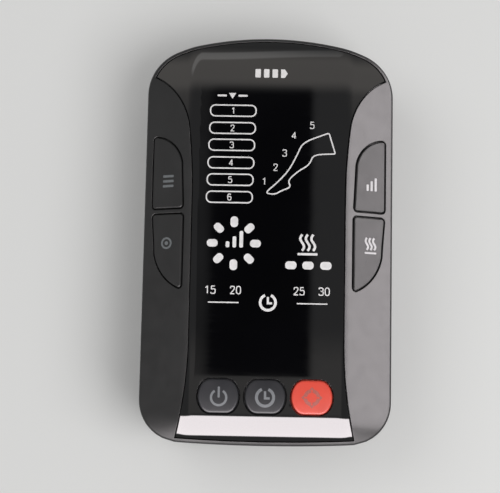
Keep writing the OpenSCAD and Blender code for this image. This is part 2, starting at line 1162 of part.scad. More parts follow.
module main_board() {
    color("darkgreen")
        difference() {
            translate([main_x0, main_y0, main_z])
                cube([main_x1 - main_x0, main_y1 - main_y0, board_t]);
            for (p = main_holes)
                translate([p[0], p[1], main_z - 1])
                    cylinder(r = stake_r + 0.05, h = board_t + 2);
        }
}

module board_parts(list) {
    for (c = list)
        translate([(c[0] - c[2] / 2) * kx, (c[1] - c[3] / 2) * ky, main_z + board_t])
            cube([c[2] * kx, c[3] * ky, c[4]]);
}

module board_chips() {
    color("black")
        board_parts(chips);
}

module board_connectors() {
    color("white")
        board_parts(plugs);
}

module ribbon_cable() {
    base_z = main_z + board_t + plugs[0][4];
    color("lightgray")
        translate([plugs[0][0] * kx - ribbon_w / 2, plugs[0][1] * ky, base_z])
            cube([ribbon_w, ribbon_t, board_low_z - base_z]);
}

// ---- battery ----

module battery_cells() {
    color("steelblue")
        for (y = [cell_low_y, cell_high_y])
            translate([-cell_half, y, cell_z])
                rotate([0, 90, 0]) {
                    cylinder(r = cell_rr, h = 2 * cell_half - 0.8);
                    cylinder(r = cell_rr * 0.35, h = 2 * cell_half);
                }
}

module battery_cradle() {
    y0 = cell_low_y - cell_rr * 0.45;
    y1 = cell_high_y + cell_rr * 0.8;
    color("black")
        difference() {
            translate([-cell_half - cradle_end, y0, wall])
                cube([2 * (cell_half + cradle_end), y1 - y0, cell_z - wall - cell_rr * 0.2]);
            for (y = [cell_low_y, cell_high_y])
                translate([-cell_half, y, cell_z])
                    rotate([0, 90, 0])
                        cylinder(r = cell_rr + fit_gap, h = 2 * cell_half);
            translate([-cell_half * 0.7, y0 + 6, 0])
                cube([cell_half * 1.4, y1 - y0 - 12, cell_z + 4]);
        }
}

// ---- pump ----

module on_pump(y) {
    translate([pump_x, y, pump_z])
        rotate([-90, 0, 0])
            children();
}

module motor_can() {
    color("silver")
        on_pump(motor_y0)
            difference() {
                cylinder(r = can_r, h = motor_y1 - motor_y0);
                translate([0, 0, -1])
                    cylinder(r = can_r - can_t, h = motor_y1 - motor_y0 - can_t + 1);
                cylinder(r = bush_r, h = 60);
            }
}

module motor_end_cap() {
    color("black")
        on_pump(motor_y0)
            difference() {
                translate([0, 0, -0.6])
                    cylinder(r = can_r - can_t, h = cap_t);
                translate([0, 0, -1])
                    cylinder(r = bush_r, h = cap_t + 2);
            }
}

// plain bearings of the shaft: one in the end cap, one in the can's front wall
module motor_bushes() {
    color("goldenrod")
        for (y = [motor_y0 - 0.6, motor_y1 - can_t])
            on_pump(y)
                difference() {
                    cylinder(r = bush_r, h = bush_t);
                    translate([0, 0, -1])
                        cylinder(r = shaft_r + run_gap, h = bush_t + 2);
                }
}

module motor_magnets() {
    len = motor_y1 - motor_y0 - cap_t - 4;
    color("dimgray")
        on_pump(motor_y0 + cap_t)
            difference() {
                cylinder(r = magnet_out, h = len);
                translate([0, 0, -1])
                    cylinder(r = magnet_in, h = len + 2);
                translate([-2.5, -can_r, -1])
                    cube([5, 2 * can_r, len + 2]);
            }
}

module motor_core() {
    len = motor_y1 - motor_y0 - cap_t - 7;
    color("chocolate")
        on_pump(motor_y0 + cap_t + 2.4)
            difference() {
                cylinder(r = core_r, h = len);
                translate([0, 0, -1])
                    cylinder(r = shaft_r, h = len + 2);
                for (a = [0, 120, 240])
                    rotate([0, 0, a])
                        translate([core_r - 2.4, -0.8, -1])
                            cube([4, 1.6, len + 2]);
            }
}

module motor_shaft() {
    color("silver")
        on_pump(motor_y0 - 1)
            cylinder(r = shaft_r, h = disc_y0 + disc_t - motor_y0 + 1);
}

// turning disc with a leaning drive pin
module crank_disc() {
    color("white")
        on_pump(disc_y0)
            difference() {
                union() {
                    cylinder(r = disc_r, h = disc_t);
                    translate([disc_r * 0.55, 0, disc_t - 0.6])
                        rotate([0, -20, 0])
                            cylinder(r = 0.8, h = 3);
                }
                translate([0, 0, -1])
                    cylinder(r = shaft_r, h = disc_t + 1.01);
            }
}

module lobes(r, h) {
    for (a = [90, 210, 330])
        rotate([0, 0, a])
            translate([lobe_d, 0, 0])
                cylinder(r = r, h = h);
}

module pump_frame() {
    len = frame_y1 - frame_y0;
    color("ivory")
        on_pump(frame_y0)
            difference() {
                cylinder(r = can_r, h = len);
                translate([0, 0, 1.6])
                    cylinder(r = can_r - 1.3, h = len);
                translate([0, 0, -1])
                    cylinder(r = bush_r + 0.1, h = 5);
            }
}

// driven plate; the hole in its boss clears the circle the drive pin runs on
module wobble_plate() {
    color("white")
        on_pump(wobble_y0)
            difference() {
                union() {
                    cylinder(r = can_r * 0.42, h = wobble_t);
                    lobes(lobe_r * 0.8, wobble_t);
                    lobes(lobe_r * 0.5, frame_y1 - wobble_y0);
                }
                translate([0, 0, -1])
                    cylinder(r = disc_r * 0.55 + 1.1, h = wobble_t + 0.4);
            }
}

module pump_diaphragm() {
    color("black")
        on_pump(frame_y1)
            cylinder(r = can_r, h = film_t);
}

module pump_valve_plate() {
    color("gray")
        on_pump(plate_y0)
            difference() {
                cylinder(r = can_r, h = plate_t);
                translate([0, 0, -1])
                    lobes(0.9, plate_t + 2);
            }
}

module pump_head() {
    color("ivory") {
        on_pump(head_y0)
            difference() {
                cylinder(r = can_r, h = head_t);
                translate([0, 0, -1])
                    cylinder(r = can_r * 0.6, h = 3.4);
                translate([nozzle_x - pump_x, pump_z - hose_z, -1])
                    cylinder(r = nozzle_bore, h = head_t + 2);
                for (a = head_screw_at)
                    rotate([0, 0, a])
                        translate([can_r - head_screw_in, 0, head_t - 1.2])
                            cylinder(r = head_screw_r, h = 3);
            }
        translate([nozzle_x, head_y1, hose_z])
            rotate([-90, 0, 0])
                nozzle(nozzle_len);
    }
}

module pump_screws() {
    color("silver")
        on_pump(head_y1)
            for (a = head_screw_at)
                rotate([0, 0, a])
                    translate([can_r - head_screw_in, 0, -1.2])
                        cylinder(r = head_screw_r - run_gap, h = 1);
}

module pump_sleeve() {
    color("black")
        on_pump(motor_y0 + 3 * ky)
            difference() {
                cylinder(r = can_r + sleeve_t, h = 22 * ky);
                translate([0, 0, -1])
                    cylinder(r = can_r, h = 22 * ky + 2);
            }
}

front_shell();
rear_shell();
face_panel();
panel_tape();
seam_gasket();
case_screws();
air_port_block();
port_o_rings();
heater_contact_pins();
charge_jack_body();
charge_jack_pin();
display_board();
display_leds();
light_box();
switch_cases();
key_boards();
main_board();
board_chips();
board_connectors();
battery_cells();
battery_cradle();
motor_can();
motor_end_cap();
motor_bushes();
motor_magnets();
motor_core();
motor_shaft();
crank_disc();
pump_frame();
wobble_plate();
pump_diaphragm();
pump_valve_plate();
pump_head();
pump_screws();
pump_sleeve();
supply_hose();
air_manifold();
valve_yokes();
valve_coils();
valve_rod_1();
valve_rod_2();
valve_rod_3();
valve_rod_4();
valve_rod_5();
ribbon_cable();
mode_key();
part_key();
level_key();
heat_key();
power_button();
timer_button();
start_button();
mode_stem();
part_stem();
level_stem();
heat_stem();
power_stem();
timer_stem();
start_stem();
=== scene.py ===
"""Looks of the hand-held controller of a leg compression wrap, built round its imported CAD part."""

import json
import math

import bmesh
import bpy
import numpy as np
from mathutils import Matrix, Quaternion, Vector

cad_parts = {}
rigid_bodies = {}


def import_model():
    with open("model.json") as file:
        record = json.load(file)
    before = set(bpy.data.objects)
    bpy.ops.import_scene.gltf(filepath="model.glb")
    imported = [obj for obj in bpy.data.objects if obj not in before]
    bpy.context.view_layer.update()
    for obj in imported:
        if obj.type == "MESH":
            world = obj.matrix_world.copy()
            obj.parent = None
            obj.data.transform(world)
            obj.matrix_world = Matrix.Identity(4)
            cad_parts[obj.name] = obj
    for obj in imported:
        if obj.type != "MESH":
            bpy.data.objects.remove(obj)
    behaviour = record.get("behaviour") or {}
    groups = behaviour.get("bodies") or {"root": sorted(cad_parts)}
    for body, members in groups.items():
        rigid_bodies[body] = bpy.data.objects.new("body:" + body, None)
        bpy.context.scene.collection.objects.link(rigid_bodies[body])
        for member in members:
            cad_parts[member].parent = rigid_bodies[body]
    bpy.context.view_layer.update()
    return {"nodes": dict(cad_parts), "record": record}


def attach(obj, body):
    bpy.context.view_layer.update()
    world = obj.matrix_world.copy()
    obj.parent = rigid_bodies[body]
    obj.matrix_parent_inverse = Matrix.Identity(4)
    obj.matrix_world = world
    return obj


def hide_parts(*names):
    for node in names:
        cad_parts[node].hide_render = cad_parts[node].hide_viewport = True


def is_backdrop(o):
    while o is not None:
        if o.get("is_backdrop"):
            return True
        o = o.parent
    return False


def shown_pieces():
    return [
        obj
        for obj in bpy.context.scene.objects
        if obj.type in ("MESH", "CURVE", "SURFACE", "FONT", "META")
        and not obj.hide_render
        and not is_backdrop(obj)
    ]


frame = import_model()

MM = 0.001

# ---- sizes of the part, in millimetres ----
HALF_W, HALF_L = 48.0, 79.0
WALL, SEAM_Z, REAR_R = 2.2, 22.0, 9.0
FACE_Z, TOP_Z = 41.2, 42.0
PANEL_T, TAPE_T, DECK_T = 2.0, 0.3, 1.7
RIM_W, PANEL_GAP, CAP_GAP = 1.5, 0.3, 0.5
TOP_ARC_R, TOP_CORNER_R = 108.0, 17.5
LOW_ARC_R, LOW_CORNER_R = 600.0, 16.0
TILT = math.radians(24)
BLEND_X, BLEND_R = 27.0, 12.0
SLOPE_X = BLEND_X + BLEND_R * math.sin(TILT)
DOME_R, DOME_Y, LIP_R, LIP_Y = 45.0, 55.0, 16.0, -67.0
CROWN = 0.2
CORNER_SOFT = 1.2
BUTTON_R, BUTTON_FLAT, BUTTON_PITCH, BUTTON_Y = 7.7, 6.3, 17.5, -60.6
CATCH_Z, TIP_Z = 37.1, 36.1
KEY_X, KEY_Z = 38.8, 37.083
KEY_PROUD, KEY_CATCH, KEY_CATCH_ROOM, KEY_CATCH_TOP, KEY_FOOT = 0.4, 1.0, 1.15, -2.3, -3.3
BUTTON_CATCH, BUTTON_SAG = 0.8, 0.5
# groove of the gasket in both shells, and the soft edge of the seam outside it
GROOVE_OUT, GROOVE_IN, GROOVE_DEEP, SEAM_SOFT = 0.65, 1.45, 0.85, 0.3
WINDOW_X, WINDOW_LOW, WINDOW_HIGH = 24.0, -36.0, 67.0
SCREW_PLACES = [(39.4, -65.5), (-39.4, -65.5), (37.8, 57.5), (-37.8, 57.5)]
SHANK_R, HEAD_R, HEAD_ROOM = 1.7, 3.0, 8
POST_R, LOW_POST_TOP, HIGH_POST_TOP, THREAD_R, THREAD_TOP = 3.7, 33.9, 33.6, 1.45, 30
JACK_R, JACK_Z, JACK_ROOM = 4.1, 14.8, 6
# openings of the back: width, height, corner, middle
PORT, RECESS = (52.4, 14.4, 0.3, 0, 46), (48, 26, 1.2, 0, -47)
THROUGH, RECESS_DEEP = 4, 0.4
SLOT_L, SLOT_W, SLOT_CORNER = 18, 1.3, 0.6
SLOTS = [(-27, y) for y in (-21.4, -18.9, -16.4, -13.9, -11.4)] + [(7.5, y) for y in (-9, -6.5, -4, -1.5)]
SIDE_STEPS, TOP_STEPS, LOW_STEPS = 110, 72, 44

TOP_CX = HALF_W - TOP_CORNER_R
TOP_MID = HALF_L - TOP_ARC_R
TOP_CY = TOP_MID + math.sqrt((TOP_ARC_R - TOP_CORNER_R) ** 2 - TOP_CX**2)
LOW_CX = HALF_W - LOW_CORNER_R
LOW_MID = LOW_ARC_R - HALF_L
LOW_CY = LOW_MID - math.sqrt((LOW_ARC_R - LOW_CORNER_R) ** 2 - LOW_CX**2)


def srgb(r, g, b):
    """Shader colour of an 8-bit screen colour."""
    return tuple(
        c / 12.92 if c <= 0.04045 else ((c + 0.055) / 1.055) ** 2.4 for c in (r / 255, g / 255, b / 255)
    )


# ---- the front surface ----


def front_z(xy):
    """Height of the moulded front over points of the plan."""
    x, y = np.abs(xy[..., 0]), xy[..., 1]
    on_arc = np.clip(x - BLEND_X, 0, BLEND_R * math.sin(TILT))
    side = BLEND_R - np.sqrt(BLEND_R**2 - on_arc**2) + np.clip(x - SLOPE_X, 0, None) * math.tan(TILT)
    up = np.clip(y - DOME_Y, 0, DOME_R - 1)
    down = np.clip(LIP_Y - y, 0, LIP_R - 1)
    end = DOME_R - np.sqrt(DOME_R**2 - up**2) + LIP_R - np.sqrt(LIP_R**2 - down**2)
    crown = CROWN * np.clip(1 - (x / BLEND_X) ** 2, 0, 1) ** 2
    return FACE_Z + crown - (side**CORNER_SOFT + end**CORNER_SOFT) ** (1 / CORNER_SOFT)


def under_z(xy):
    """Height of the underside of the front wall over points of the plan."""
    x = np.abs(xy[..., 0])
    roof = front_z(np.stack([np.minimum(x, BLEND_X), xy[..., 1]], -1)) - PANEL_T - TAPE_T - DECK_T
    return np.minimum(roof, front_z(xy) - WALL / math.cos(TILT))


def at(xy, z):
    """Points of the plan at one height, or each at its own."""
    return np.column_stack([xy, np.broadcast_to(z, len(xy))])


# ---- outlines in plan ----


def cheek_edge():
    """Edge between the panel and the right cheek, from the lower rim to the upper rim.

    It bends out below its waist, bends out again above it, and ends in a wide turn.
    """
    waist, waist_low, waist_high, low_bend, high_bend = 29.4, -40, 15, 300, 440
    turn_r, turn_x, turn_y = 27, 31.057, 42
    inside = LOW_CORNER_R - RIM_W
    ys = np.linspace(-78, -70, 4001)
    xs = waist + (ys - waist_low) ** 2 / low_bend
    first = ys[np.argmin(np.abs(np.hypot(xs - LOW_CX, ys - LOW_CY) - inside))]
    low = [(waist + (y - waist_low) ** 2 / low_bend, y) for y in np.linspace(first, waist_low, 60)]
    mid = [(waist + max(y - waist_high, 0) ** 2 / high_bend, y) for y in np.linspace(-39, 39, 60)]
    turn = np.radians(np.linspace(7, 60, 60))
    top = []
    for a in turn:
        x = turn_x + turn_r * (math.cos(turn[0]) - math.cos(a))
        top.append((x, turn_y + turn_r * (math.sin(a) - math.sin(turn[0]))))
    start = np.array(top[-1]) - (TOP_CX, TOP_CY)
    way = np.array([math.cos(math.pi / 6), math.sin(math.pi / 6)])
    ahead = start @ way
    reach = math.sqrt(ahead**2 - start @ start + (TOP_CORNER_R - RIM_W) ** 2) - ahead
    return np.array(low + mid + top + [tuple(np.array(top[-1]) + way * reach)])


def evenly(line, steps):
    """The line again, cut into steps of one length."""
    far = np.concatenate([[0], np.cumsum(np.linalg.norm(np.diff(line, axis=0), axis=1))])
    to = np.linspace(0, far[-1], steps + 1)
    return np.column_stack([np.interp(to, far, line[:, k]) for k in (0, 1)])


def side_rim(y):
    """Point and outward normal of the casing's right side at a height of the plan."""
    for cx, cy, r, beyond in (
        (TOP_CX, TOP_CY, TOP_CORNER_R, y > TOP_CY),
        (LOW_CX, LOW_CY, LOW_CORNER_R, y < LOW_CY),
    ):
        if beyond:
            s = (y - cy) / r
            n = (math.sqrt(1 - s * s), s)
            return (cx + r * n[0], y), n
    return (HALF_W, y), (1.0, 0.0)


def end_rim(corner, cx, cy, corner_r, mid, wide_r, steps):
    """Points and normals of half an end, from the panel's corner to the middle."""
    join = math.atan2(cy - mid, cx)
    start = math.atan2(corner[1] - cy, corner[0] - cx)
    turn = (join - start) * (corner_r - RIM_W)
    wide = (math.pi / 2 - join) * (wide_r - RIM_W)
    rows = []
    for s in np.linspace(0, turn + wide, steps + 1):
        if s < turn:
            a, at_x, at_y, r = start + s / (corner_r - RIM_W), cx, cy, corner_r
        else:
            a, at_x, at_y, r = join + (s - turn) / (wide_r - RIM_W), 0.0, mid, wide_r
        n = (math.cos(a), math.sin(a))
        rows.append((at_x + r * n[0], at_y + r * n[1], *n))
    return np.array(rows)


def plan_loops():
    """Rim points, rim normals and the panel's edge, all anticlockwise and matched point by point."""
    edge = evenly(cheek_edge(), SIDE_STEPS)
    top = end_rim(edge[-1], TOP_CX, TOP_CY, TOP_CORNER_R, TOP_MID, TOP_ARC_R, TOP_STEPS // 2)
    flip = np.array([1, -1])
    low = end_rim(edge[0] * flip, LOW_CX, -LOW_CY, LOW_CORNER_R, -LOW_MID, LOW_ARC_R, LOW_STEPS // 2)
    low[:, [1, 3]] *= -1
    y_low, y_high = low[0, 1], top[0, 1]
    span = (edge[:, 1] - edge[0, 1]) / (edge[-1, 1] - edge[0, 1])
    side = np.array([(*p, *n) for p, n in (side_rim(y_low + t * (y_high - y_low)) for t in span)])
    side[0], side[-1] = low[0], top[0]
    mirror = np.array([-1, 1, -1, 1])
    rows = np.concatenate(
        [
            side[:-1],
            top[:-1],
            (top * mirror)[::-1][:-1],
            (side * mirror)[::-1][:-1],
            (low * mirror)[:-1],
            low[::-1][:-1],
        ]
    )
    inner = rows[:, :2] - RIM_W * rows[:, 2:]
    n = SIDE_STEPS
    inner[: n + 1] = edge
    inner[n + TOP_STEPS : 2 * n + TOP_STEPS + 1] = (edge * (-1, 1))[::-1]
    return rows[:, :2], rows[:, 2:], inner


RIM, OUT, EDGE = plan_loops()


def rim(d):
    """The casing's outline, drawn in by one distance or by one for each point."""
    return RIM - np.reshape(d, (-1, 1)) * OUT


def levels(*steps):
    """Rings along the casing's outline, each drawn in by a distance and laid at a height."""
    return [at(rim(d), z) for d, z in steps]


def mitres(before, after):
    """Sums of the left normals of the sides before and after each point, and the squares of the sums."""
    left = []
    for side in (before, after):
        normal = np.column_stack([-side[:, 1], side[:, 0]])
        left.append(normal / np.linalg.norm(side, axis=1)[:, None])
    mean = left[0] + left[1]
    return mean, (mean * mean).sum(1)[:, None]


def drawn_in(loop, d):
    """A closed anticlockwise loop drawn in by d, its corners kept sharp."""
    mean, square = mitres(loop - np.roll(loop, 1, 0), np.roll(loop, -1, 0) - loop)
    return loop + d * 2 * mean / square


def turned(shape, degrees):
    """A shape turned about the middle of the plan."""
    a = math.radians(degrees)
    return shape @ np.array([[math.cos(a), math.sin(a)], [-math.sin(a), math.cos(a)]])


def window_loop():
    """The window of the deck, with as many points on each side as the panel's edge."""
    x, low, high = WINDOW_X, WINDOW_LOW, WINDOW_HIGH
    corners = [(x, low), (x, high), (-x, high), (-x, low), (x, low)]
    steps = [SIDE_STEPS, TOP_STEPS, SIDE_STEPS, LOW_STEPS]
    return np.concatenate(
        [
            np.linspace(a, b, n, endpoint=False)
            for a, b, n in zip(corners[:-1], corners[1:], steps)
        ]
    )


def rounded(width, height, r, cx=0.0, cy=0.0, steps=6):
    """A rectangle with rounded corners, anticlockwise."""
    loop = []
    for quarter, (sx, sy) in enumerate([(1, 1), (-1, 1), (-1, -1), (1, -1)]):
        for k in range(steps + 1):
            a = math.radians(90 * quarter + 90 * k / steps)
            x, y = cx + sx * (width / 2 - r), cy + sy * (height / 2 - r)
            loop.append((x + r * math.cos(a), y + r * math.sin(a)))
    return np.array(loop)


def disc(r, steps=64, cx=0.0, cy=0.0):
    """A circle, anticlockwise."""
    a = np.linspace(0, 2 * math.pi, steps, endpoint=False)
    return np.column_stack([cx + r * np.cos(a), cy + r * np.sin(a)])


def corner(cx, cy, r, start, end, steps=10):
    """Points along a round corner, from one angle to another in degrees."""
    a = np.radians(np.linspace(start, end, steps + 1))
    return [(cx + r * math.cos(t), cy + r * math.sin(t)) for t in a]


def high_key_loop():
    """Upper side key in its cheek: its inner side leans outwards up to a wide turn."""
    inner, out, low, high, lean, wide, small = -6.46, 6.45, 10.6, 38.35, 1.27, 12.4, 1.2
    turn = (-5.82 + wide, high - wide)
    joint = 10.0
    x = inner + lean * (turn[1] + wide * math.sin(math.radians(joint)) - low) / (high - low)
    return np.array(
        corner(out - small, low + small, small, -90, 0)
        + corner(out - small, high - small, small, 0, 72)
        + corner(*turn, wide, 96, 180 - joint, 40)
        + [(x - 0.1, turn[1] - 1.0)]
        + corner(inner + small, low + small, small, 177, 270)
    )


def low_key_loop():
    """Lower side key in its cheek: its outer side leans inwards down to a wide turn."""
    inner, out, low, high, wide, small = -6.68, 6.24, -20.0, 8.15, 17.8, 1.2
    return np.array(
        corner(5.46 - wide, -21.34 + wide, wide, -66.8, -10, 44)
        + [(5.38, -2.6)]
        + corner(out - small, high - small, small, -4, 90)
        + corner(inner + small, high - small, small, 90, 180)
        + corner(inner + small, low + small, small, 180, 264)
    )


def button_loop():
    """A round button with its top and bottom cut flat, soft where the cuts begin."""
    r, flat, soft = BUTTON_R, BUTTON_FLAT, 4.2
    x, y = math.sqrt((r - soft) ** 2 - (flat - soft) ** 2), flat - soft
    end = math.degrees(math.atan2(y, x))
    return np.array(
        corner(0, 0, r, -end, end, 36)
        + corner(x, y, soft, end, 90, 12)[1:]
        + corner(-x, y, soft, 90, 180 - end, 12)
        + corner(0, 0, r, 180 - end, 180 + end, 36)[1:]
        + corner(-x, -y, soft, 180 + end, 270, 12)[1:]
        + corner(x, -y, soft, 270, 360 - end, 12)[:-1]
    )


# ---- modelling ----


def deselect():
    bpy.ops.object.select_all(action="DESELECT")


def only(piece):
    deselect()
    piece.select_set(True)
    bpy.context.view_layer.objects.active = piece


def lay(piece, ring):
    """Puts the picked points of a piece on a ring, each on its own place."""
    mesh = bmesh.from_edit_mesh(piece.data)
    rung = mesh.verts.layers.int["rung"]
    for v in mesh.verts:
        if v.select:
            v.co = ring[v[rung]]
    bmesh.update_edit_mesh(piece.data)


def loft(name, rings, closed=False):
    """Starts from a circle and pulls its edge from ring to ring, then closes the shape."""
    rings = [np.asarray(r, float) * MM for r in rings]
    deselect()
    bpy.ops.mesh.primitive_circle_add(vertices=len(rings[0]), radius=MM)
    piece = bpy.context.object
    piece.name = name
    bpy.ops.object.mode_set(mode="EDIT")
    mesh = bmesh.from_edit_mesh(piece.data)
    rung = mesh.verts.layers.int.new("rung")
    for i, v in enumerate(mesh.verts):
        v[rung] = i
    bpy.ops.mesh.select_all(action="SELECT")
    lay(piece, rings[0])
    for ring in rings[1:] + rings[:1] * closed:
        bpy.ops.mesh.extrude_edges_move()
        lay(piece, ring)
    bpy.ops.mesh.select_all(action="SELECT")
    if closed:
        bpy.ops.mesh.remove_doubles(threshold=1e-7)
    else:
        bpy.ops.mesh.fill_holes(sides=0)
    bpy.ops.mesh.normals_make_consistent(inside=False)
    bpy.ops.object.mode_set(mode="OBJECT")
    return piece


def pillar(name, r, spot, low, high, steps=48):
    """A round post, or a cutter for a bore, over a spot of the plan."""
    return loft(name, [at(disc(r, steps, *spot), z) for z in (low, high)])


def joined(name, pieces):
    """Several shapes as one piece."""
    deselect()
    for p in pieces:
        p.select_set(True)
    bpy.context.view_layer.objects.active = pieces[0]
    if len(pieces) > 1:
        bpy.ops.object.join()
    piece = bpy.context.object
    piece.name = name
    return piece


def combined(piece, tool, operation):
    """Cuts a tool out of a piece, or adds it, and removes the tool."""
    only(piece)
    step = piece.modifiers.new("shape", "BOOLEAN")
    step.operation, step.solver, step.object = operation, "EXACT", tool
    bpy.ops.object.modifier_apply(modifier=step.name)
    bpy.data.objects.remove(tool)


def smooth(piece, angle=32.0, weighted=False):
    """Soft shading over rounded faces, sharp over edges; broad faces keep their own direction."""
    only(piece)
    bpy.ops.object.shade_smooth_by_angle(angle=math.radians(angle))
    if weighted:
        step = piece.modifiers.new("normals", "WEIGHTED_NORMAL")
        step.keep_sharp = True
        bpy.ops.object.modifier_apply(modifier=step.name)


def face_true(piece):
    """Shades a piece's front faces by the true front surface, so that cuts leave no marks in its gloss."""
    mesh = piece.data
    points = np.array([v.co for v in mesh.vertices]) / MM
    plan = points[:, :2]
    step, near = 0.01, 0.04
    slope = [(front_z(plan + d) - front_z(plan - d)) / (2 * step) for d in ((step, 0), (0, step))]
    true = np.column_stack([-slope[0], -slope[1], np.ones(len(points))])
    true /= np.linalg.norm(true, axis=1)[:, None]
    on_front = np.abs(points[:, 2] - front_z(plan)) < near
    normals = np.array([c.vector for c in mesh.corner_normals])
    for face in mesh.polygons:
        corners = list(face.vertices)
        if on_front[corners].all() and np.dot(face.normal, true[corners[0]]) > 0.9:
            normals[face.loop_start : face.loop_start + face.loop_total] = true[corners]
    mesh.normals_split_custom_set(normals)


def cheek(points, side):
    """Points given along, up and out of a cheek, in the part's frame; side is 1 right, -1 left."""
    u, v, n = np.asarray(points, float).T
    x = KEY_X + u * math.cos(TILT) + n * math.sin(TILT)
    z = KEY_Z - u * math.sin(TILT) + n * math.cos(TILT)
    return np.column_stack([side * x, v, z])


def flared(loop, gap, top, r=0.3):
    """Rings of a cutter whose mouth opens in a round of radius r at a level, or on a surface."""
    rings = []
    for down, out in ((1, 0), (0.47, 0.18), (0.18, 0.47), (0, 1), (-10, 1)):
        ring = drawn_in(loop, -gap - out * r)
        mouth = top(ring) if callable(top) else top
        rings.append(at(ring, mouth - down * r))
    return rings


# ---- casing ----


def casing_front():
    """Front shell: side wall, shoulder, cheeks, the panel's seat, the deck's window and the inside."""
    width = np.linalg.norm(RIM - EDGE, axis=1)
    shoulder = 1.1 * width / (width + 0.4)
    rings = levels((SEAM_SOFT, SEAM_Z), (0, SEAM_Z + SEAM_SOFT))
    wall_top = front_z(rim(0)) - shoulder
    for t in (0.33, 0.66, 1):
        rings.append(at(rim(0), SEAM_Z + SEAM_SOFT + t * (wall_top - SEAM_Z - SEAM_SOFT)))
    for a in np.radians([15, 30, 45, 60, 75, 90]):
        ring = rim(shoulder * (1 - math.cos(a)))
        rings.append(at(ring, front_z(ring) - shoulder * (1 - math.sin(a))))
    inner, mouth = rim(shoulder), drawn_in(EDGE, -0.25)
    for t in np.linspace(0, 1, 11)[1:]:
        ring = inner + t * (mouth - inner)
        rings.append(at(ring, front_z(ring)))
    for out, down in ((0.1, 0.04), (0.03, 0.12), (0, 0.25), (0, PANEL_T + TAPE_T)):
        ring = drawn_in(EDGE, -out)
        rings.append(at(ring, front_z(ring) - down))
    window = window_loop()
    for t in (0.12, 0.3, 0.55, 0.8, 1):
        ring = EDGE + t * (window - EDGE)
        rings.append(at(ring, front_z(ring) - PANEL_T - TAPE_T))
    inside = rim(WALL)
    for t in (0, 0.25, 0.5, 0.75, 1):
        ring = window + t * (inside - window)
        rings.append(at(ring, under_z(ring)))
    groove_top = SEAM_Z + GROOVE_DEEP
    rings += levels((WALL, SEAM_Z), (GROOVE_IN, SEAM_Z), (GROOVE_IN, groove_top))
    rings += levels((GROOVE_OUT, groove_top), (GROOVE_OUT, SEAM_Z))
    shell = loft("casing_front", rings, closed=True)
    posts = []
    for spot in SCREW_PLACES:
        top = HIGH_POST_TOP if spot[1] > 0 else LOW_POST_TOP
        posts.append(pillar("post", POST_R, spot, SEAM_Z + 0.01, top))
    combined(shell, joined("posts", posts), "UNION")
    bores = [pillar("bore", THREAD_R, spot, SEAM_Z - 2, THREAD_TOP, 32) for spot in SCREW_PLACES]
    combined(shell, joined("bores", bores), "DIFFERENCE")
    combined(shell, key_openings(), "DIFFERENCE")
    combined(shell, button_openings(FACE_Z - PANEL_T + 1), "DIFFERENCE")
    smooth(shell, weighted=True)
    face_true(shell)
    return shell


def key_openings():
    """Cutters of the four side-key openings, wide enough below for the keys' catches."""
    tools = []
    for loop in (high_key_loop(), low_key_loop()):
        rings = [at(drawn_in(loop, -KEY_CATCH_ROOM), n) for n in (-9, -WALL)]
        rings.append(at(drawn_in(loop, -CAP_GAP), -WALL))
        rings += flared(loop, CAP_GAP, 0.0)
        tools += [loft("opening", [cheek(r, side) for r in rings]) for side in (1, -1)]
    return joined("openings", tools)


def button_openings(top):
    """Cutters of the three button openings."""
    tools = []
    for i in (-1, 0, 1):
        loop = button_loop() + (i * BUTTON_PITCH, BUTTON_Y)
        rings = [at(drawn_in(loop, -CAP_GAP), 34)] + flared(loop, CAP_GAP, top, 0.16)
        tools.append(loft("opening", rings))
    return joined("openings", tools)


def casing_rear():
    """Rear shell: a rounded tray with four screw posts, cut from its back and from its upper end."""
    steps = np.radians(np.linspace(90, 0, 13))
    groove_floor = SEAM_Z - GROOVE_DEEP
    rings = levels(*((REAR_R * (1 - math.cos(a)), REAR_R * (1 - math.sin(a))) for a in steps))
    rings += levels((0, 13), (0, 17), (0, SEAM_Z - SEAM_SOFT), (SEAM_SOFT, SEAM_Z))
    rings += levels((GROOVE_OUT, SEAM_Z), (GROOVE_OUT, groove_floor))
    rings += levels((GROOVE_IN, groove_floor), (GROOVE_IN, SEAM_Z), (WALL, SEAM_Z))
    inner_r = REAR_R - WALL
    for a in steps[::-1]:
        rings += levels((WALL + inner_r * (1 - math.cos(a)), WALL + inner_r * (1 - math.sin(a))))
    shell = loft("casing_rear", rings)
    posts = [pillar("post", POST_R, spot, 1.75, SEAM_Z - 0.01) for spot in SCREW_PLACES]
    combined(shell, joined("posts", posts), "UNION")
    below = [("port", rounded(*PORT), THROUGH), ("recess", rounded(*RECESS), RECESS_DEEP)]
    for x, y in SLOTS:
        below.append(("slot", rounded(SLOT_L, SLOT_W, SLOT_CORNER, x, y + SLOT_W / 2), THROUGH))
    down = (1, 1, -1)
    tools = []
    for name, loop, deep in below:
        rings = [at(loop, -deep)] + flared(loop, 0, 0)
        tools.append(loft(name, [r * down for r in rings]))
    for x, y in SCREW_PLACES:
        head, shank = disc(HEAD_R, 48, x, y), disc(SHANK_R, 48, x, y)
        rings = [at(shank, -SEAM_Z - 3), at(shank, -HEAD_ROOM), at(head, -HEAD_ROOM)]
        rings += flared(head, 0, 0) if y > 0 else [at(head, 3)]
        tools.append(loft("sink", [r * down for r in rings]))
    nose = disc(JACK_R, 48, 0, JACK_Z)
    rings = [at(nose, HALF_L - JACK_ROOM)] + flared(nose, 0, HALF_L)
    tools.append(loft("nose", [r[:, [0, 2, 1]] for r in rings]))
    combined(shell, joined("tools", tools), "DIFFERENCE")
    smooth(shell, weighted=True)
    return shell


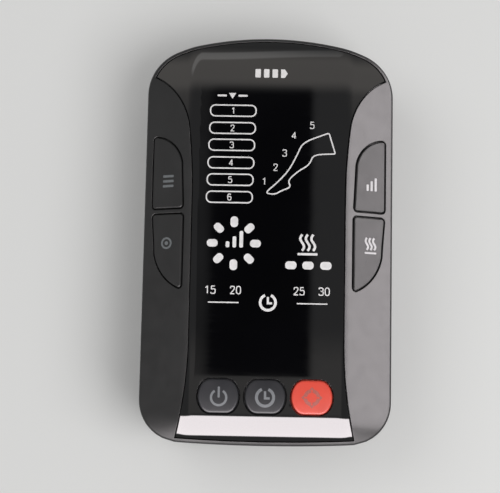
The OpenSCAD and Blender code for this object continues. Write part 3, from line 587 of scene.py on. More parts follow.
def face_panel():
    """Sheet laid over the front surface between its four edges, thickened, its rim rounded."""
    loop = drawn_in(EDGE, PANEL_GAP)
    n = SIDE_STEPS
    right, top = loop[: n + 1], loop[n : n + TOP_STEPS + 1][::-1]
    left = loop[n + TOP_STEPS : 2 * n + TOP_STEPS + 1][::-1]
    low = np.concatenate([loop[2 * n + TOP_STEPS :], loop[:1]])
    across = 72
    low, top = (evenly(line, across) for line in (low, top))
    deselect()
    bpy.ops.mesh.primitive_grid_add(x_subdivisions=across, y_subdivisions=n, size=2)
    piece = bpy.context.object
    piece.name = "face_panel_glass"
    for v in piece.data.vertices:
        s, t = (v.co.x + 1) / 2, (v.co.y + 1) / 2
        i, j = round(s * across), round(t * n)
        flat = (1 - s) * ((1 - t) * low[0] + t * top[0]) + s * ((1 - t) * low[-1] + t * top[-1])
        p = (1 - t) * low[i] + t * top[i] + (1 - s) * left[j] + s * right[j] - flat
        v.co = Vector((*p, front_z(p))) * MM
    only(piece)
    thick = piece.modifiers.new("thickness", "SOLIDIFY")
    thick.thickness, thick.offset = PANEL_T * MM, -1
    bpy.ops.object.modifier_apply(modifier=thick.name)
    soft = piece.modifiers.new("rim", "BEVEL")
    soft.width, soft.segments, soft.limit_method = 0.3 * MM, 3, "ANGLE"
    soft.angle_limit = math.radians(60)
    bpy.ops.object.modifier_apply(modifier=soft.name)
    combined(piece, button_openings(front_z), "DIFFERENCE")
    smooth(piece, 30, weighted=True)
    face_true(piece)
    return piece


# ---- keys and buttons ----


def side_key(name, loop, side):
    """Cap with a catch round its foot and a soft edge round its top."""
    r = 0.5
    rings = [at(drawn_in(loop, -KEY_CATCH), n) for n in (KEY_FOOT, KEY_CATCH_TOP)]
    rings += [at(loop, KEY_CATCH_TOP), at(loop, KEY_PROUD - r)]
    for a in np.radians([18, 36, 54, 72, 90]):
        rings.append(at(drawn_in(loop, r * (1 - math.cos(a))), KEY_PROUD - r * (1 - math.sin(a))))
    rings.append(at(drawn_in(loop, 0.6), KEY_PROUD))
    key = loft(name, [cheek(ring, side) for ring in rings])
    smooth(key, 30, weighted=True)
    return key


def button_top(xy):
    """Height of a button's top, a shallow dome, over points from its middle."""
    return TOP_Z - 0.08 - BUTTON_SAG * (xy * xy).sum(-1) / BUTTON_R**2


def round_button(name, i):
    """Cap with a catch round its foot, a round brow and a shallow dome; i counts from the middle one."""
    loop = button_loop()
    place = np.array([i * BUTTON_PITCH, BUTTON_Y, 0])
    r = 0.9
    rings = [at(drawn_in(loop, -BUTTON_CATCH), z) for z in (TIP_Z, CATCH_Z)] + [at(loop, CATCH_Z)]
    brow = button_top(drawn_in(loop, r))
    for a in np.radians([0, 15, 30, 45, 60, 75]):
        rings.append(at(drawn_in(loop, r * (1 - math.cos(a))), brow - r * (1 - math.sin(a))))
    for share in (1, 0.9, 0.75, 0.55, 0.35, 0.15):
        ring = drawn_in(loop, r) * share
        rings.append(at(ring, button_top(ring)))
    button = loft(name, [ring + place for ring in rings])
    smooth(button, 30)
    return button


# ---- printed and lit signs ----
# how far a sign stands out of its surface, and how deep it is set in
LIFT, SINK = 0.06, 0.12


def on_panel(xy, h):
    """Signs of the panel are drawn in the plan, from the middle of the part."""
    return at(xy, front_z(xy) + h)


def on_button(i):
    """Signs of a button are drawn from its own middle."""

    def place(xy, h):
        return at(xy, button_top(xy) + h) + (i * BUTTON_PITCH, BUTTON_Y, 0)

    return place


def on_cheek(side):
    """Signs are drawn from the middle of a key, upright for someone who faces the panel."""

    def place(xy, h):
        u = side * xy[:, 0]
        return cheek(np.column_stack([u, xy[:, 1], np.full(len(xy), KEY_PROUD + h)]), side)

    return place


def plate(place, loop):
    """A filled sign inside one loop."""
    loop = np.asarray(loop, float)
    return loft("sign", [place(loop, -SINK), place(loop, LIFT)])


def stroke(place, line, width, closed=False):
    """A line of one width, or of one for each point, drawn along a path."""
    line = np.asarray(line, float)
    ahead, behind = np.roll(line, -1, 0) - line, line - np.roll(line, 1, 0)
    if not closed:
        ahead[-1], behind[0] = behind[-1], ahead[0]
    mean, square = mitres(behind, ahead)
    side = np.reshape(width, (-1, 1)) * mean / square
    a, b = line + side, line - side
    sections = np.stack([place(a, LIFT), place(b, LIFT), place(b, -SINK), place(a, -SINK)], 1)
    return loft("sign", list(sections), closed=closed)


def arc_line(cx, cy, r, start, end, steps=40):
    """A path along an arc, from one angle to another in degrees."""
    return np.array(corner(cx, cy, r, start, end, steps))


def eased(points, soft=0.42, closed=False, sharp=()):
    """A path through straight runs with its turns rounded off."""
    points = [np.array(p, float) for p in points]
    count, line = len(points), []
    for k, p in enumerate(points):
        if not closed and k in (0, count - 1):
            line.append(p)
            continue
        back, on = points[k - 1] - p, points[(k + 1) % count] - p
        share = 0.08 if k in sharp else soft
        for t in np.linspace(0, 1, 7):
            line.append(p + (1 - t) ** 2 * share * back + t * t * share * on)
    return np.array(line)


# plain numerals on a grid 1 high: runs of points, and the points that stay sharp
NUMERAL_W, NUMERAL_PITCH, PEN = 0.56, 0.82, 0.14
NUMERALS = {
    "0": [([(0, 0), (0.56, 0), (0.56, 1), (0, 1)], ())],
    "1": [([(0.08, 0.76), (0.34, 1), (0.34, 0)], (1,))],
    "2": [([(0.03, 0.72), (0.03, 1), (0.54, 1), (0.54, 0.62), (0, 0), (0.56, 0)], (4,))],
    "3": [
        ([(0.02, 0.82), (0.02, 1), (0.53, 1), (0.53, 0.54), (0.2, 0.54)], ()),
        ([(0.2, 0.54), (0.56, 0.54), (0.56, 0), (0, 0), (0, 0.2)], ()),
    ],
    "4": [([(0.44, 0), (0.44, 1), (0, 0.28), (0.6, 0.28)], (1, 2))],
    "5": [([(0.5, 1), (0.07, 1), (0.05, 0.58), (0.56, 0.66), (0.56, 0), (0, 0), (0, 0.18)], (1, 2))],
    "6": [([(0.5, 0.86), (0.46, 1), (0.02, 1), (0, 0), (0.56, 0), (0.56, 0.6), (0.02, 0.58)], ())],
}


def number(place, text, height, cx, cy):
    """A plain number drawn with a pen of one width."""
    left = -(NUMERAL_PITCH * (len(text) - 1) + NUMERAL_W) / 2
    shapes = []
    for k, numeral in enumerate(text):
        for points, sharp in NUMERALS[numeral]:
            ring = numeral == "0"
            line = eased(points, closed=ring, sharp=sharp) + (left + k * NUMERAL_PITCH, -0.5)
            shapes.append(stroke(place, line * height + (cx, cy), PEN * height, closed=ring))
    return shapes


def rising_bars(place, cx, low, pitch, width, heights):
    """Three bars side by side, each higher than the last."""
    return [
        plate(place, rounded(width, h, width * 0.35, cx + (k - 1) * pitch, low + h / 2))
        for k, h in enumerate(heights)
    ]


def heat_waves(place, cx, low, high, pitch, width, bar_y, bar_half, bar_w):
    """Three wavy lines over a bar."""
    t = np.linspace(0, 1, 25)
    shapes = []
    for k in (-1, 0, 1):
        x = cx + k * pitch + 0.34 * pitch * np.sin(2 * math.pi * t)
        shapes.append(stroke(place, np.column_stack([x, low + t * (high - low)]), width))
    bar = rounded(2 * bar_half, bar_w, bar_w * 0.3, cx, bar_y)
    return shapes + [plate(place, bar)]


def clock(place, cx, cy, r, width):
    """A ring open at its top, with two hands."""
    ring = stroke(place, arc_line(cx, cy, r, 112, 428, 60), width)
    pivot = cy - r * 0.1
    hands = stroke(place, [(cx, cy + r * 0.72), (cx, pivot), (cx + r * 0.55, pivot)], width * 0.8)
    return [ring, hands]


def panel_signs():
    """The lit signs of the panel, by group."""
    put = on_panel
    battery = [plate(put, rounded(2.1, 3.5, 0.3, x, 63.4)) for x in (-4.95, -1.65, 1.65)]
    battery.append(plate(put, [(3.9, 61.65), (5.4, 61.65), (6.5, 63.4), (5.4, 65.15), (3.9, 65.15)]))
    modes = [plate(put, rounded(3.6, 0.75, 0.3, x, 54.2)) for x in (-18.6, -10.6)]
    modes.append(plate(put, [(-16.0, 55.2), (-14.6, 53.0), (-13.2, 55.2)]))
    for k, y in enumerate((48.3, 41.5, 34.9, 28.0, 21.4, 14.7)):
        x = -14.2 - 0.16 * k
        modes.append(stroke(put, rounded(17.5, 4.3, 1.9, x, y, 8), 0.5, closed=True))
        modes += number(put, str(k + 1), 2.3, x, y)
    zones = []
    for k, (x, y) in enumerate([(-1.8, 21), (2.4, 26.5), (5.8, 32.1), (9.2, 39), (16.2, 43.1)]):
        zones += number(put, str(k + 1), 2.5, x, y)
    leg = [stroke(put, leg_line(), 0.5, closed=True)]
    level = rising_bars(put, -12.7, -4.6, 2.6, 1.4, (2.3, 4.2, 6.3))
    away = 8.2
    for k in range(8):
        a = math.radians(45 * k)
        petal = turned(rounded(4.1, 2.9, 1.3), 45 * k)
        level.append(plate(put, petal + (-12.9 + away * math.cos(a), -3.0 + away * math.sin(a))))
    heat = heat_waves(put, 15.1, -5.4, 0.8, 2.1, 0.9, -6.7, 3.8, 0.9)
    heat += [plate(put, rounded(4.3, 3.0, 1.3, x, -11)) for x in (8.85, 15.35, 22.1)]
    minutes = []
    for text, x in (("15", -21.5), ("20", -11.9), ("25", 12.1), ("30", 21.6)):
        minutes += number(put, text, 2.8, x, -20.8)
    minutes += [plate(put, rounded(11.6, 0.45, 0.15, x, -25.5)) for x in (-16.4, 17.1)]
    minutes += clock(put, 0.4, -25.3, 2.9, 1.0)
    groups = {
        "battery_sign": battery,
        "mode_signs": modes,
        "zone_numbers": zones,
        "leg_sign": leg,
        "level_sign": level,
        "heat_sign": heat,
        "minute_signs": minutes,
    }
    return [joined(name, shapes) for name, shapes in groups.items()]


def leg_line():
    """Closed outline of a bent leg and foot, rounded between its corners."""
    points = [
        (-1.6, 16.4),
        (2.4, 16.0),
        (4.8, 17.5),
        (8.4, 18.9),
        (7.2, 21.4),
        (10.6, 24.8),
        (15.3, 27.7),
        (16.8, 31.7),
        (25.2, 32.1),
        (22.7, 40.2),
        (12.7, 36.4),
        (10.4, 31.0),
        (7.5, 25.4),
        (3.2, 20.6),
    ]
    return eased(points, closed=True, sharp=(8, 9))


def key_signs():
    """Signs on the side keys and the round buttons, with the body each one rides on."""
    left, right = on_cheek(-1), on_cheek(1)
    bars = [plate(left, rounded(4.6, 0.95, 0.3, 0.3, y)) for y in (22.9, 21.0, 19.1)]
    ring = [stroke(left, disc(1.9, 40, 0.2, -3.0), 0.75, closed=True)]
    ring.append(plate(left, disc(0.75, 24, 0.2, -3.0)))
    power = [stroke(on_button(-1), arc_line(0.2, -0.5, 2.85, 122, 418, 60), 0.85)]
    power.append(plate(on_button(-1), rounded(0.8, 4.1, 0.25, 0.2, 1.5)))
    start = []
    for a in (0, 90, 180, 270):
        start.append(stroke(on_button(1), arc_line(0, 0, 2.5, a + 7, a + 83, 16), 1.3))
    for a in (0, 90, 180, 270):
        start.append(plate(on_button(1), turned(np.array([(-1.1, 2.8), (1.1, 2.8), (0, 4.0)]), a)))
    level = rising_bars(right, 0.6, 18.6, 1.75, 0.95, (2.5, 3.9, 5.2))
    heat = heat_waves(right, 0.3, -4.2, 0.4, 1.6, 0.8, -5.4, 2.5, 0.7)
    timer = clock(on_button(0), 0, -0.2, 3.2, 1.1)
    rows = [
        # one printed ink in two copies: a darker one on the left keys, painted shade, and a lighter one on
        # the right keys, painted light
        ("mode_key", bars, "print_grey"),
        ("part_key", ring, "print_grey"),
        ("level_key", level, "print_white"),
        ("heat_key", heat, "print_white"),
        ("power_button", power, "print_silver"),
        ("timer_button", timer, "print_silver"),
        ("start_button", start, "print_rose"),
    ]
    return [(joined(body + "_sign", shapes), body, finish) for body, shapes, finish in rows]


# ---- finishes ----


class Finish:
    """A node material under construction."""

    def __init__(self, name, colour, rough, metal=0.0, ior=1.5):
        self.material = bpy.data.materials.new(name)
        self.material.use_nodes = True
        self.tree = self.material.node_tree
        self.shader = self.tree.nodes["Principled BSDF"]
        self.shader.inputs["Base Color"].default_value = (*colour, 1)
        self.shader.inputs["Roughness"].default_value = rough
        self.shader.inputs["Metallic"].default_value = metal
        self.shader.inputs["IOR"].default_value = ior
        self.place = self.tree.nodes.new("ShaderNodeTexCoord").outputs["Object"]
        self.height = None

    def link(self, a, b):
        """Joins an output socket to an input socket."""
        self.tree.links.new(a, b)

    def stretched(self, scale):
        """Object coordinates stretched along the axes."""
        step = self.tree.nodes.new("ShaderNodeMapping")
        step.inputs["Scale"].default_value = scale
        self.link(self.place, step.inputs["Vector"])
        return step.outputs["Vector"]

    def noise(self, size, detail=3.0, scale=(1, 1, 1), rough=0.5):
        """Soft spots of about one size in millimetres."""
        step = self.tree.nodes.new("ShaderNodeTexNoise")
        step.inputs["Scale"].default_value = 1 / (size * MM)
        step.inputs["Detail"].default_value = detail
        step.inputs["Roughness"].default_value = rough
        self.link(self.stretched(scale), step.inputs["Vector"])
        return step.outputs["Fac"]

    def ranged(self, value, low, high, start=0.3, end=0.7):
        """A value from start to end, spread from low to high."""
        step = self.tree.nodes.new("ShaderNodeMapRange")
        step.inputs["From Min"].default_value, step.inputs["From Max"].default_value = start, end
        step.inputs["To Min"].default_value, step.inputs["To Max"].default_value = low, high
        self.link(value, step.inputs["Value"])
        return step.outputs["Result"]

    def math(self, how, a, b):
        """Two values, or a value and a number, brought together."""
        step = self.tree.nodes.new("ShaderNodeMath")
        step.operation = how
        for socket, value in zip(step.inputs, (a, b)):
            if isinstance(value, (int, float)):
                socket.default_value = value
            else:
                self.link(value, socket)
        return step.outputs[0]

    def colours(self, value, low, high):
        """Base colour that runs from low to high with a value from 0 to 1."""
        step = self.tree.nodes.new("ShaderNodeMix")
        step.data_type = "RGBA"
        step.inputs["A"].default_value, step.inputs["B"].default_value = (*low, 1), (*high, 1)
        self.link(value, step.inputs["Factor"])
        source = [s for s in step.outputs if s.type == "RGBA"][0]
        self.link(source, self.shader.inputs["Base Color"])

    def roughness(self, value):
        self.link(value, self.shader.inputs["Roughness"])

    def relief(self, value, depth, strength=1.0):
        """Bump of a depth in millimetres, added to what is there."""
        step = self.tree.nodes.new("ShaderNodeBump")
        step.inputs["Distance"].default_value = depth * MM
        step.inputs["Strength"].default_value = strength
        self.link(value, step.inputs["Height"])
        if self.height:
            self.link(self.height, step.inputs["Normal"])
        self.height = step.outputs["Normal"]
        self.link(self.height, self.shader.inputs["Normal"])


def tint(colour, by):
    """A colour made darker or lighter."""
    return tuple(min(1.0, c * by) for c in colour)


def moulded(name, colour, rough, grain=0.35, depth=0.012, ior=1.5):
    """Moulded plastic: a fine spark-eroded grain, faint clouding and uneven gloss."""
    f = Finish(name, colour, rough, ior=ior)
    cloud = f.noise(14, 2)
    f.colours(f.ranged(cloud, 0, 1), tint(colour, 0.9), tint(colour, 1.1))
    f.roughness(f.ranged(f.noise(5, 4), rough - 0.035, rough + 0.035))
    f.relief(f.noise(grain, 2), depth)
    f.relief(f.noise(9, 1), 0.006, 0.3)
    return f.material


def polished(name, colour, rough, ior=1.5, waviness=0.01):
    """Polished plastic: hair-fine wipe marks and a surface that isn't quite flat."""
    f = Finish(name, colour, rough, ior=ior)
    wipes = f.noise(1.2, 5, (0.08, 1, 1), 0.7)
    f.roughness(f.ranged(wipes, rough * 0.6, rough * 1.6))
    f.colours(f.ranged(f.noise(30, 2), 0, 1), tint(colour, 0.85), tint(colour, 1.15))
    f.relief(f.noise(22, 1), waviness)
    return f.material


def metal(name, colour, rough, brushed=(1, 1, 1), grain=0.5):
    """Metal with drawing lines along its long stretch and dulled patches."""
    f = Finish(name, colour, rough, 1.0)
    lines = f.noise(grain, 4, brushed, 0.65)
    f.colours(f.ranged(f.noise(4, 4), 0, 1), tint(colour, 0.78), tint(colour, 1.08))
    f.roughness(f.ranged(lines, rough - 0.08, rough + 0.12))
    f.relief(lines, 0.01, 0.6)
    return f.material


def rubber(name, colour, rough=0.62):
    """Rubber with a dusty bloom and a soft grain."""
    f = Finish(name, colour, rough)
    bloom = f.noise(2.5, 5, rough=0.65)
    f.colours(f.ranged(bloom, 0, 1), colour, tint(colour, 1.5))
    f.roughness(f.ranged(bloom, rough - 0.06, rough + 0.12))
    f.relief(f.noise(0.25, 3), 0.02)
    return f.material


def circuit_board(name):
    """Solder mask over a net of tracks, with vias that show as pale dots."""
    f = Finish(name, (0.01, 0.09, 0.035), 0.3)
    track = f.tree.nodes.new("ShaderNodeTexBrick")
    track.inputs["Scale"].default_value = 1 / MM
    track.inputs["Mortar Size"].default_value = 0.16
    track.inputs["Mortar Smooth"].default_value = 0.2
    track.inputs["Brick Width"].default_value = 3.4
    track.inputs["Row Height"].default_value = 1.1
    f.link(f.place, track.inputs["Vector"])
    via = f.tree.nodes.new("ShaderNodeTexVoronoi")
    via.inputs["Scale"].default_value = 1 / (3.1 * MM)
    f.link(f.place, via.inputs["Vector"])
    dots = f.ranged(via.outputs["Distance"], 1, 0, 0.09, 0.12)
    lit = f.math("MAXIMUM", f.math("MULTIPLY", track.outputs["Fac"], 0.45), dots)
    f.colours(lit, (0.008, 0.075, 0.03), (0.12, 0.26, 0.12))
    f.roughness(f.ranged(f.noise(3, 3), 0.22, 0.36))
    f.relief(lit, 0.035)
    return f.material


def wound_wire(name):
    """Enamelled copper wire, laid turn beside turn, its colour darker in the grooves between turns: painted
    shade.
    """
    f = Finish(name, (0.42, 0.14, 0.045), 0.34, 0.85)
    turns = f.tree.nodes.new("ShaderNodeTexWave")
    turns.bands_direction = "Z"
    turns.inputs["Scale"].default_value = 1 / (1.1 * MM)
    turns.inputs["Distortion"].default_value = 0.35
    turns.inputs["Detail Scale"].default_value = 0.4
    f.link(f.place, turns.inputs["Vector"])
    # colour near black in the grooves between turns and copper on their crests: painted shade in the
    # grooves
    f.colours(turns.outputs["Fac"], (0.12, 0.03, 0.01), (0.62, 0.24, 0.08))
    f.relief(turns.outputs["Fac"], 0.12)
    return f.material


def cell_wrap(name):
    """Shrink film over a cell: blue with fine puckers; the two ends are bare metal."""
    f = Finish(name, (0.02, 0.09, 0.3), 0.28)
    puckers = f.noise(2.2, 3, (0.3, 1, 1))
    away = f.tree.nodes.new("ShaderNodeSeparateXYZ")
    f.link(f.place, away.inputs[0])
    end = f.ranged(f.math("ABSOLUTE", away.outputs["X"], 0), 0, 1, 30.9 * MM, 31.1 * MM)
    f.colours(end, (0.018, 0.085, 0.3), (0.5, 0.5, 0.5))
    f.link(end, f.shader.inputs["Metallic"])
    f.roughness(f.ranged(puckers, 0.2, 0.38))
    f.relief(puckers, 0.06)
    return f.material


def flat_cable(name):
    """Grey ribbon cable: one ridge for each wire, darker grey in the grooves between them: painted shade.
    """
    f = Finish(name, (0.34, 0.34, 0.35), 0.45)
    wires = f.tree.nodes.new("ShaderNodeTexWave")
    wires.bands_direction = "X"
    wires.inputs["Scale"].default_value = 1 / (4.4 * MM)
    f.link(f.place, wires.inputs["Vector"])
    # darker grey in the grooves between wires: painted shade
    f.colours(wires.outputs["Fac"], (0.2, 0.2, 0.21), (0.42, 0.42, 0.43))
    f.relief(wires.outputs["Fac"], 0.15)
    f.roughness(f.ranged(f.noise(3, 3), 0.4, 0.55))
    return f.material


def clear_hose(name):
    """Milky clear silicone tube."""
    f = Finish(name, (0.62, 0.68, 0.7), 0.28, ior=1.42)
    f.shader.inputs["Transmission Weight"].default_value = 0.55
    f.colours(f.ranged(f.noise(4, 3), 0, 1), (0.56, 0.62, 0.65), (0.7, 0.75, 0.77))
    f.roughness(f.ranged(f.noise(1.5, 4), 0.22, 0.36))
    f.relief(f.noise(1.5, 2), 0.02)
    return f.material


def lit_sign(name, colour, glow):
    """A sign lit from below, under the panel's gloss."""
    f = Finish(name, colour, 0.35)
    f.shader.inputs["Emission Strength"].default_value = glow
    f.shader.inputs["Emission Color"].default_value = (*colour, 1)
    f.shader.inputs["Coat Weight"].default_value = 0.8
    f.shader.inputs["Coat Roughness"].default_value = 0.05
    patches = f.noise(2.0, 3)
    f.colours(f.ranged(patches, 0, 1), tint(colour, 0.9), tint(colour, 1.05))
    f.roughness(f.ranged(patches, 0.3, 0.42))
    f.relief(f.noise(0.3, 2), 0.004)
    return f.material


def print_ink(name, colour, rough=0.5):
    """Pad-printed ink, a little uneven."""
    f = Finish(name, colour, rough)
    ink = f.noise(0.5, 4)
    f.colours(f.ranged(ink, 0, 1), tint(colour, 0.86), tint(colour, 1.06))
    f.roughness(f.ranged(ink, rough - 0.06, rough + 0.08))
    f.relief(ink, 0.006)
    return f.material


FINISHES = {
    "casing_plastic": lambda s: moulded(s, srgb(33, 33, 33), 0.36),
    "panel_gloss": lambda s: polished(s, srgb(8, 8, 10), 0.03),
    "tape_black": lambda s: rubber(s, (0.012, 0.012, 0.012), 0.8),
    "seal_rubber": lambda s: rubber(s, (0.014, 0.014, 0.014)),
    "screw_steel": lambda s: metal(s, (0.56, 0.56, 0.57), 0.3),
    "port_plastic": lambda s: moulded(s, (0.016, 0.016, 0.018), 0.45, 0.25),
    "ring_silicone": lambda s: rubber(s, (0.42, 0.045, 0.03), 0.45),
    "contact_gold": lambda s: metal(s, (0.83, 0.58, 0.22), 0.2, grain=0.3),
    "jack_plastic": lambda s: moulded(s, (0.014, 0.014, 0.014), 0.3, 0.2, 0.006),
    "jack_metal": lambda s: metal(s, (0.68, 0.67, 0.64), 0.18, grain=0.3),
    "board_green": circuit_board,
    "led_white": lambda s: lit_sign(s, (0.8, 0.79, 0.7), 0.4),
    "light_white": lambda s: moulded(s, (0.78, 0.78, 0.77), 0.55, 0.3),
    "switch_metal": lambda s: metal(s, (0.6, 0.6, 0.6), 0.34, (1, 0.1, 1)),
    "chip_black": lambda s: moulded(s, (0.02, 0.02, 0.021), 0.6, 0.18, 0.02),
    "plug_white": lambda s: moulded(s, (0.72, 0.7, 0.62), 0.42, 0.3),
    "cell_wrap": cell_wrap,
    "cradle_black": lambda s: moulded(s, (0.022, 0.022, 0.023), 0.5, 0.4, 0.02),
    "motor_steel": lambda s: metal(s, (0.5, 0.5, 0.51), 0.32, (1, 0.12, 1)),
    "bush_bronze": lambda s: metal(s, (0.5, 0.33, 0.14), 0.45, grain=0.2),
    "magnet_dark": lambda s: moulded(s, (0.05, 0.05, 0.056), 0.55, 0.3, 0.03),
    "copper_wound": wound_wire,
    "pump_plastic": lambda s: moulded(s, (0.66, 0.64, 0.57), 0.42, 0.3),
    "film_rubber": lambda s: rubber(s, (0.02, 0.02, 0.02)),
    "hose_clear": clear_hose,
    "ribbon_grey": flat_cable,
    "key_plastic": lambda s: moulded(s, srgb(38, 38, 38), 0.45, 0.3, 0.01, 1.41),
    "button_red": lambda s: moulded(s, srgb(236, 80, 62), 0.34, 0.3, 0.006),
    "stem_black": lambda s: moulded(s, (0.02, 0.02, 0.02), 0.5, 0.3),
    "button_dark": lambda s: moulded(s, srgb(42, 42, 46), 0.34, 0.3, 0.006),
    "sign_white": lambda s: lit_sign(s, srgb(214, 212, 212), 0.12),
    # the same ink twice: darkened for the left keys, painted shade; lightened for the right keys, painted
    # light
    "print_grey": lambda s: print_ink(s, srgb(104, 108, 110)),
    "print_white": lambda s: print_ink(s, srgb(192, 190, 192)),
    "print_silver": lambda s: print_ink(s, srgb(128, 130, 134), 0.4),
    "print_rose": lambda s: print_ink(s, srgb(188, 98, 88), 0.4),
}
materials = {}


def wear(piece, finish):
    """Gives a piece one finish, made once and shared."""
    if finish not in materials:
        materials[finish] = FINISHES[finish](finish)
    piece.data.materials.clear()
    piece.data.materials.append(materials[finish])


# ---- the object ----


def stand_in(piece, body, node, finish):
    """A modelled piece takes the place of a CAD node."""
    wear(piece, finish)
    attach(piece, body)
    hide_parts(node)


def build_object():
    """Finishes for the CAD pieces, stand-ins for the outer ones, and the signs."""
    for row in frame["record"]["subparts"]:
        wear(frame["nodes"][row["node"]], row["material_slot"])
    stand_in(casing_front(), "casing", "front_shell", "casing_plastic")
    stand_in(casing_rear(), "casing", "rear_shell", "casing_plastic")
    stand_in(face_panel(), "casing", "face_panel", "panel_gloss")
    for name, loop, side in (
        ("mode_key", high_key_loop(), -1),
        ("part_key", low_key_loop(), -1),
        ("level_key", high_key_loop(), 1),
        ("heat_key", low_key_loop(), 1),
    ):
        stand_in(side_key(name + "_cap", loop, side), name, name, "key_plastic")
    for i, name, finish, slot in (
        (-1, "power_button", "button_dark", "key_plastic"),
        (0, "timer_button", "button_dark", "key_plastic"),
        (1, "start_button", "button_red", "button_red"),
    ):
        stand_in(round_button(name + "_cap", i), name, name, finish)
    for sign in panel_signs():
        wear(sign, "sign_white")
        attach(sign, "casing")
    for sign, body, finish in key_signs():
        wear(sign, finish)
        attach(sign, body)


# ---- floor, light and camera, in metres ----

WHITE, WARM, ROSY = (1, 1, 1), (1, 0.93, 0.86), (1, 0.935, 0.955)
MIDDLE_Z = 0.035
MIDDLE = (0, 0, MIDDLE_Z)
EYE_DISTANCE, EYE_PITCH, EYE_ROLL = 0.48, math.radians(7.1624), math.radians(1.058)


def added(tree, *kinds):
    """New nodes of a node tree, one of each kind."""
    return [tree.nodes.new("ShaderNode" + kind) for kind in kinds]


def softbox(
    name,
    direction,
    distance,
    size,
    radiance,
    seen="both",
    on=None,
    fade=None,
    hue=WHITE,
    aim=MIDDLE,
    roll=0,
):
    """A rectangular lamp that faces the object; radiance 1 is a white card's.

    seen says whether it lights surfaces, is mirrored in them, or both; on names the pieces it reaches;
    fade gives the shares of its width and height over which its edges die away; roll turns it in degrees.
    """
    lamp = bpy.data.lights.new(name, "AREA")
    lamp.shape, lamp.size, lamp.size_y = "RECTANGLE", *size
    lamp.energy, lamp.color = radiance * math.pi * size[0] * size[1], hue
    box = bpy.data.objects.new(name, lamp)
    bpy.context.scene.collection.objects.link(box)
    toward = Vector(direction).normalized()
    box.location = Vector(aim) + toward * distance
    turn = Quaternion((0, 0, 1), math.radians(roll))
    box.rotation_euler = (toward.to_track_quat("Z", "Y") @ turn).to_euler()
    box.visible_camera = False
    box.visible_diffuse, box.visible_glossy = seen != "mirror", seen != "light"
    if on:
        reached = bpy.data.collections.new(name)
        for piece in on:
            reached.objects.link(piece)
        box.light_linking.receiver_collection = reached
    if fade:
        lamp.use_nodes = True
        tree = lamp.node_tree
        place = tree.nodes.new("ShaderNodeNewGeometry").outputs["Parametric"]
        tree.links.new(edge_fade(tree, place, fade), tree.nodes["Emission"].inputs["Strength"])
    return box


def edge_fade(tree, place, fade, top_only=False):
    """1 in the middle of a square from 0 to 1, dying away over the given shares of its two sides."""
    split, product = added(tree, "SeparateXYZ", "Math")
    tree.links.new(place, split.inputs[0])
    product.operation = "MULTIPLY"
    for k, share in enumerate(fade):
        off, size, ramp = added(tree, "Math", "Math", "MapRange")
        off.operation, ramp.interpolation_type = "SUBTRACT", "SMOOTHSTEP"
        size.operation = "ADD" if top_only and k == 1 else "ABSOLUTE"
        size.inputs[1].default_value = 0
        off.inputs[1].default_value = 0.5
        tree.links.new(split.outputs[k], off.inputs[0])
        tree.links.new(off.outputs[0], size.inputs[0])
        tree.links.new(size.outputs[0], ramp.inputs["Value"])
        ramp.inputs["From Min"].default_value, ramp.inputs["From Max"].default_value = 0.5 - share, 0.5
        ramp.inputs["To Min"].default_value, ramp.inputs["To Max"].default_value = 1, 0
        tree.links.new(ramp.outputs[0], product.inputs[k])
    return product.outputs[0]


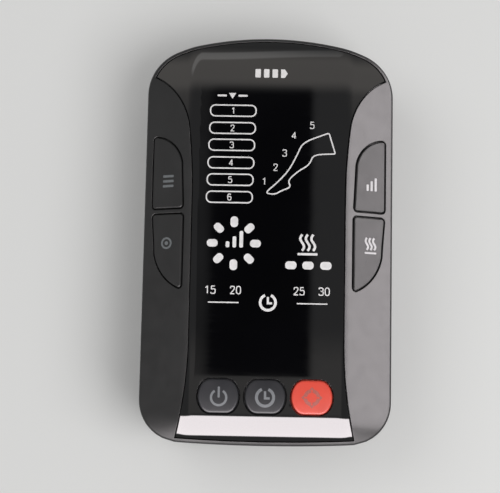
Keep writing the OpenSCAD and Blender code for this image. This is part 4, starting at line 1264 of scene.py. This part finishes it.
def dark_ceiling():
    """A black sheet over the camera, seen only as the dark middle of the panel's gloss."""
    deselect()
    bpy.ops.mesh.primitive_plane_add(size=1, location=(0, 0, 0))
    sheet = bpy.context.object
    sheet.name = "dark_ceiling"
    bpy.ops.object.mode_set(mode="EDIT")
    bpy.ops.mesh.select_all(action="SELECT")
    bpy.ops.transform.resize(value=(0.115, 0.385, 1))
    bpy.ops.transform.translate(value=(-0.005, 0.1475, 0.6))
    bpy.ops.object.mode_set(mode="OBJECT")
    cloth = bpy.data.materials.new("ceiling_cloth")
    cloth.use_nodes = True
    tree = cloth.node_tree
    black, clear, mix, uv = added(tree, "Emission", "BsdfTransparent", "MixShader", "UVMap")
    black.inputs["Strength"].default_value = 0
    tree.links.new(edge_fade(tree, uv.outputs[0], (0.06, 0.44), top_only=True), mix.inputs[0])
    tree.links.new(clear.outputs[0], mix.inputs[1])
    tree.links.new(black.outputs[0], mix.inputs[2])
    tree.links.new(mix.outputs[0], tree.nodes["Material Output"].inputs["Surface"])
    sheet.data.materials.append(cloth)
    sheet.visible_camera = sheet.visible_diffuse = False
    sheet.visible_shadow = sheet.visible_transmission = False
    sheet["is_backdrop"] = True


def plain_stage():
    """Pale floor that is seen from above only, so that the back can be looked at."""
    deselect()
    bpy.ops.mesh.primitive_circle_add(vertices=96, radius=4, fill_type="NGON")
    floor = bpy.context.object
    floor.name = "floor"
    paint = bpy.data.materials.new("floor_paint")
    paint.use_nodes = True
    tree, links = paint.node_tree, paint.node_tree.links
    shader = tree.nodes["Principled BSDF"]
    shader.inputs["Base Color"].default_value = (0.8, 0.8, 0.79, 1)
    shader.inputs["Roughness"].default_value = 0.9
    shader.inputs["Specular IOR Level"].default_value = 0.1
    clear, mix, side = added(tree, "BsdfTransparent", "MixShader", "NewGeometry")
    links.new(side.outputs["Backfacing"], mix.inputs[0])
    links.new(shader.outputs[0], mix.inputs[1])
    links.new(clear.outputs[0], mix.inputs[2])
    links.new(mix.outputs[0], tree.nodes["Material Output"].inputs["Surface"])
    floor.data.materials.append(paint)
    floor.visible_diffuse = floor.visible_glossy = False
    floor.visible_shadow = floor.visible_transmission = False
    floor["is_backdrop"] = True


def light():
    """Soft lamps, and cards that show only as reflections in the satin plastic or in the panel."""
    world = bpy.data.worlds.new("studio")
    bpy.context.scene.world = world
    world.use_nodes = True
    grey = world.node_tree.nodes["Background"]
    grey.inputs[0].default_value = (0.4, 0.4, 0.4, 1)
    shiny = []
    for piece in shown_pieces():
        if "panel_glass" in piece.name or (piece.parent.name.endswith("casing") and "sign" in piece.name):
            shiny.append(piece)
    satin = [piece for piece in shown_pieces() if piece not in shiny]
    matt = ("button", "mode_key", "part_key")
    right = [piece for piece in satin if not any(word in piece.name for word in matt)]
    softbox("key_light", (0.5, -0.3, 0.8), 0.9, (0.6, 0.6), 3.7, "light")
    softbox("fill_light", (-0.55, 0.3, 0.75), 0.9, (0.6, 0.6), 1.3, "light")
    softbox("under_light", (0, 0, -1), 1.0, (0.8, 0.8), 1.5)
    cheek_top = (0.04, 0, MIDDLE_Z)
    softbox("right_card", (0.79, 0.1, 0.6), 0.8, (0.9, 0.75), 8.0, "mirror", right, None, ROSY, cheek_top)
    softbox("front_card", (0, -0.819, 0.574), 0.8, (1.6, 1.3), 6.5, "mirror", satin, (0.2, 0.25), ROSY)
    softbox("white_card", (0, -0.631, 0.776), 0.8, (2.4, 0.862), 20.0, "mirror", shiny, (0.04, 0.06), ROSY)
    softbox("grey_card", (0, 0.69, 0.724), 0.8, (2.6, 0.8), 0.95, "mirror", shiny, (0.12, 0.35), WARM)
    softbox("streak_card", (-0.22, 0.8, 0.59), 0.8, (0.8, 0.13), 1.1, "mirror", shiny, (0.3, 0.25), roll=22)
    softbox("low_card", (0, -0.106, 1), 0.57, (0.5, 0.12), 0.3, "mirror", shiny, (0.15, 0.3), WARM)
    bpy.context.scene.view_settings.view_transform = "Standard"


def camera():
    """Camera at the photograph's viewing angle, a little in front and turned about one degree."""
    lens = bpy.data.cameras.new("camera")
    lens.lens, lens.sensor_width = 89.89, 36
    lens.shift_x, lens.shift_y = -0.0359, -0.0169
    eye = bpy.data.objects.new("camera", lens)
    bpy.context.scene.collection.objects.link(eye)
    away, up = EYE_DISTANCE * math.sin(EYE_PITCH), EYE_DISTANCE * math.cos(EYE_PITCH)
    eye.location = (0, -away, MIDDLE_Z + up)
    eye.rotation_euler = (Matrix.Rotation(EYE_PITCH, 3, "X") @ Matrix.Rotation(EYE_ROLL, 3, "Z")).to_euler()
    bpy.context.scene.camera = eye


build_object()
plain_stage()
dark_ceiling()
light()
camera()
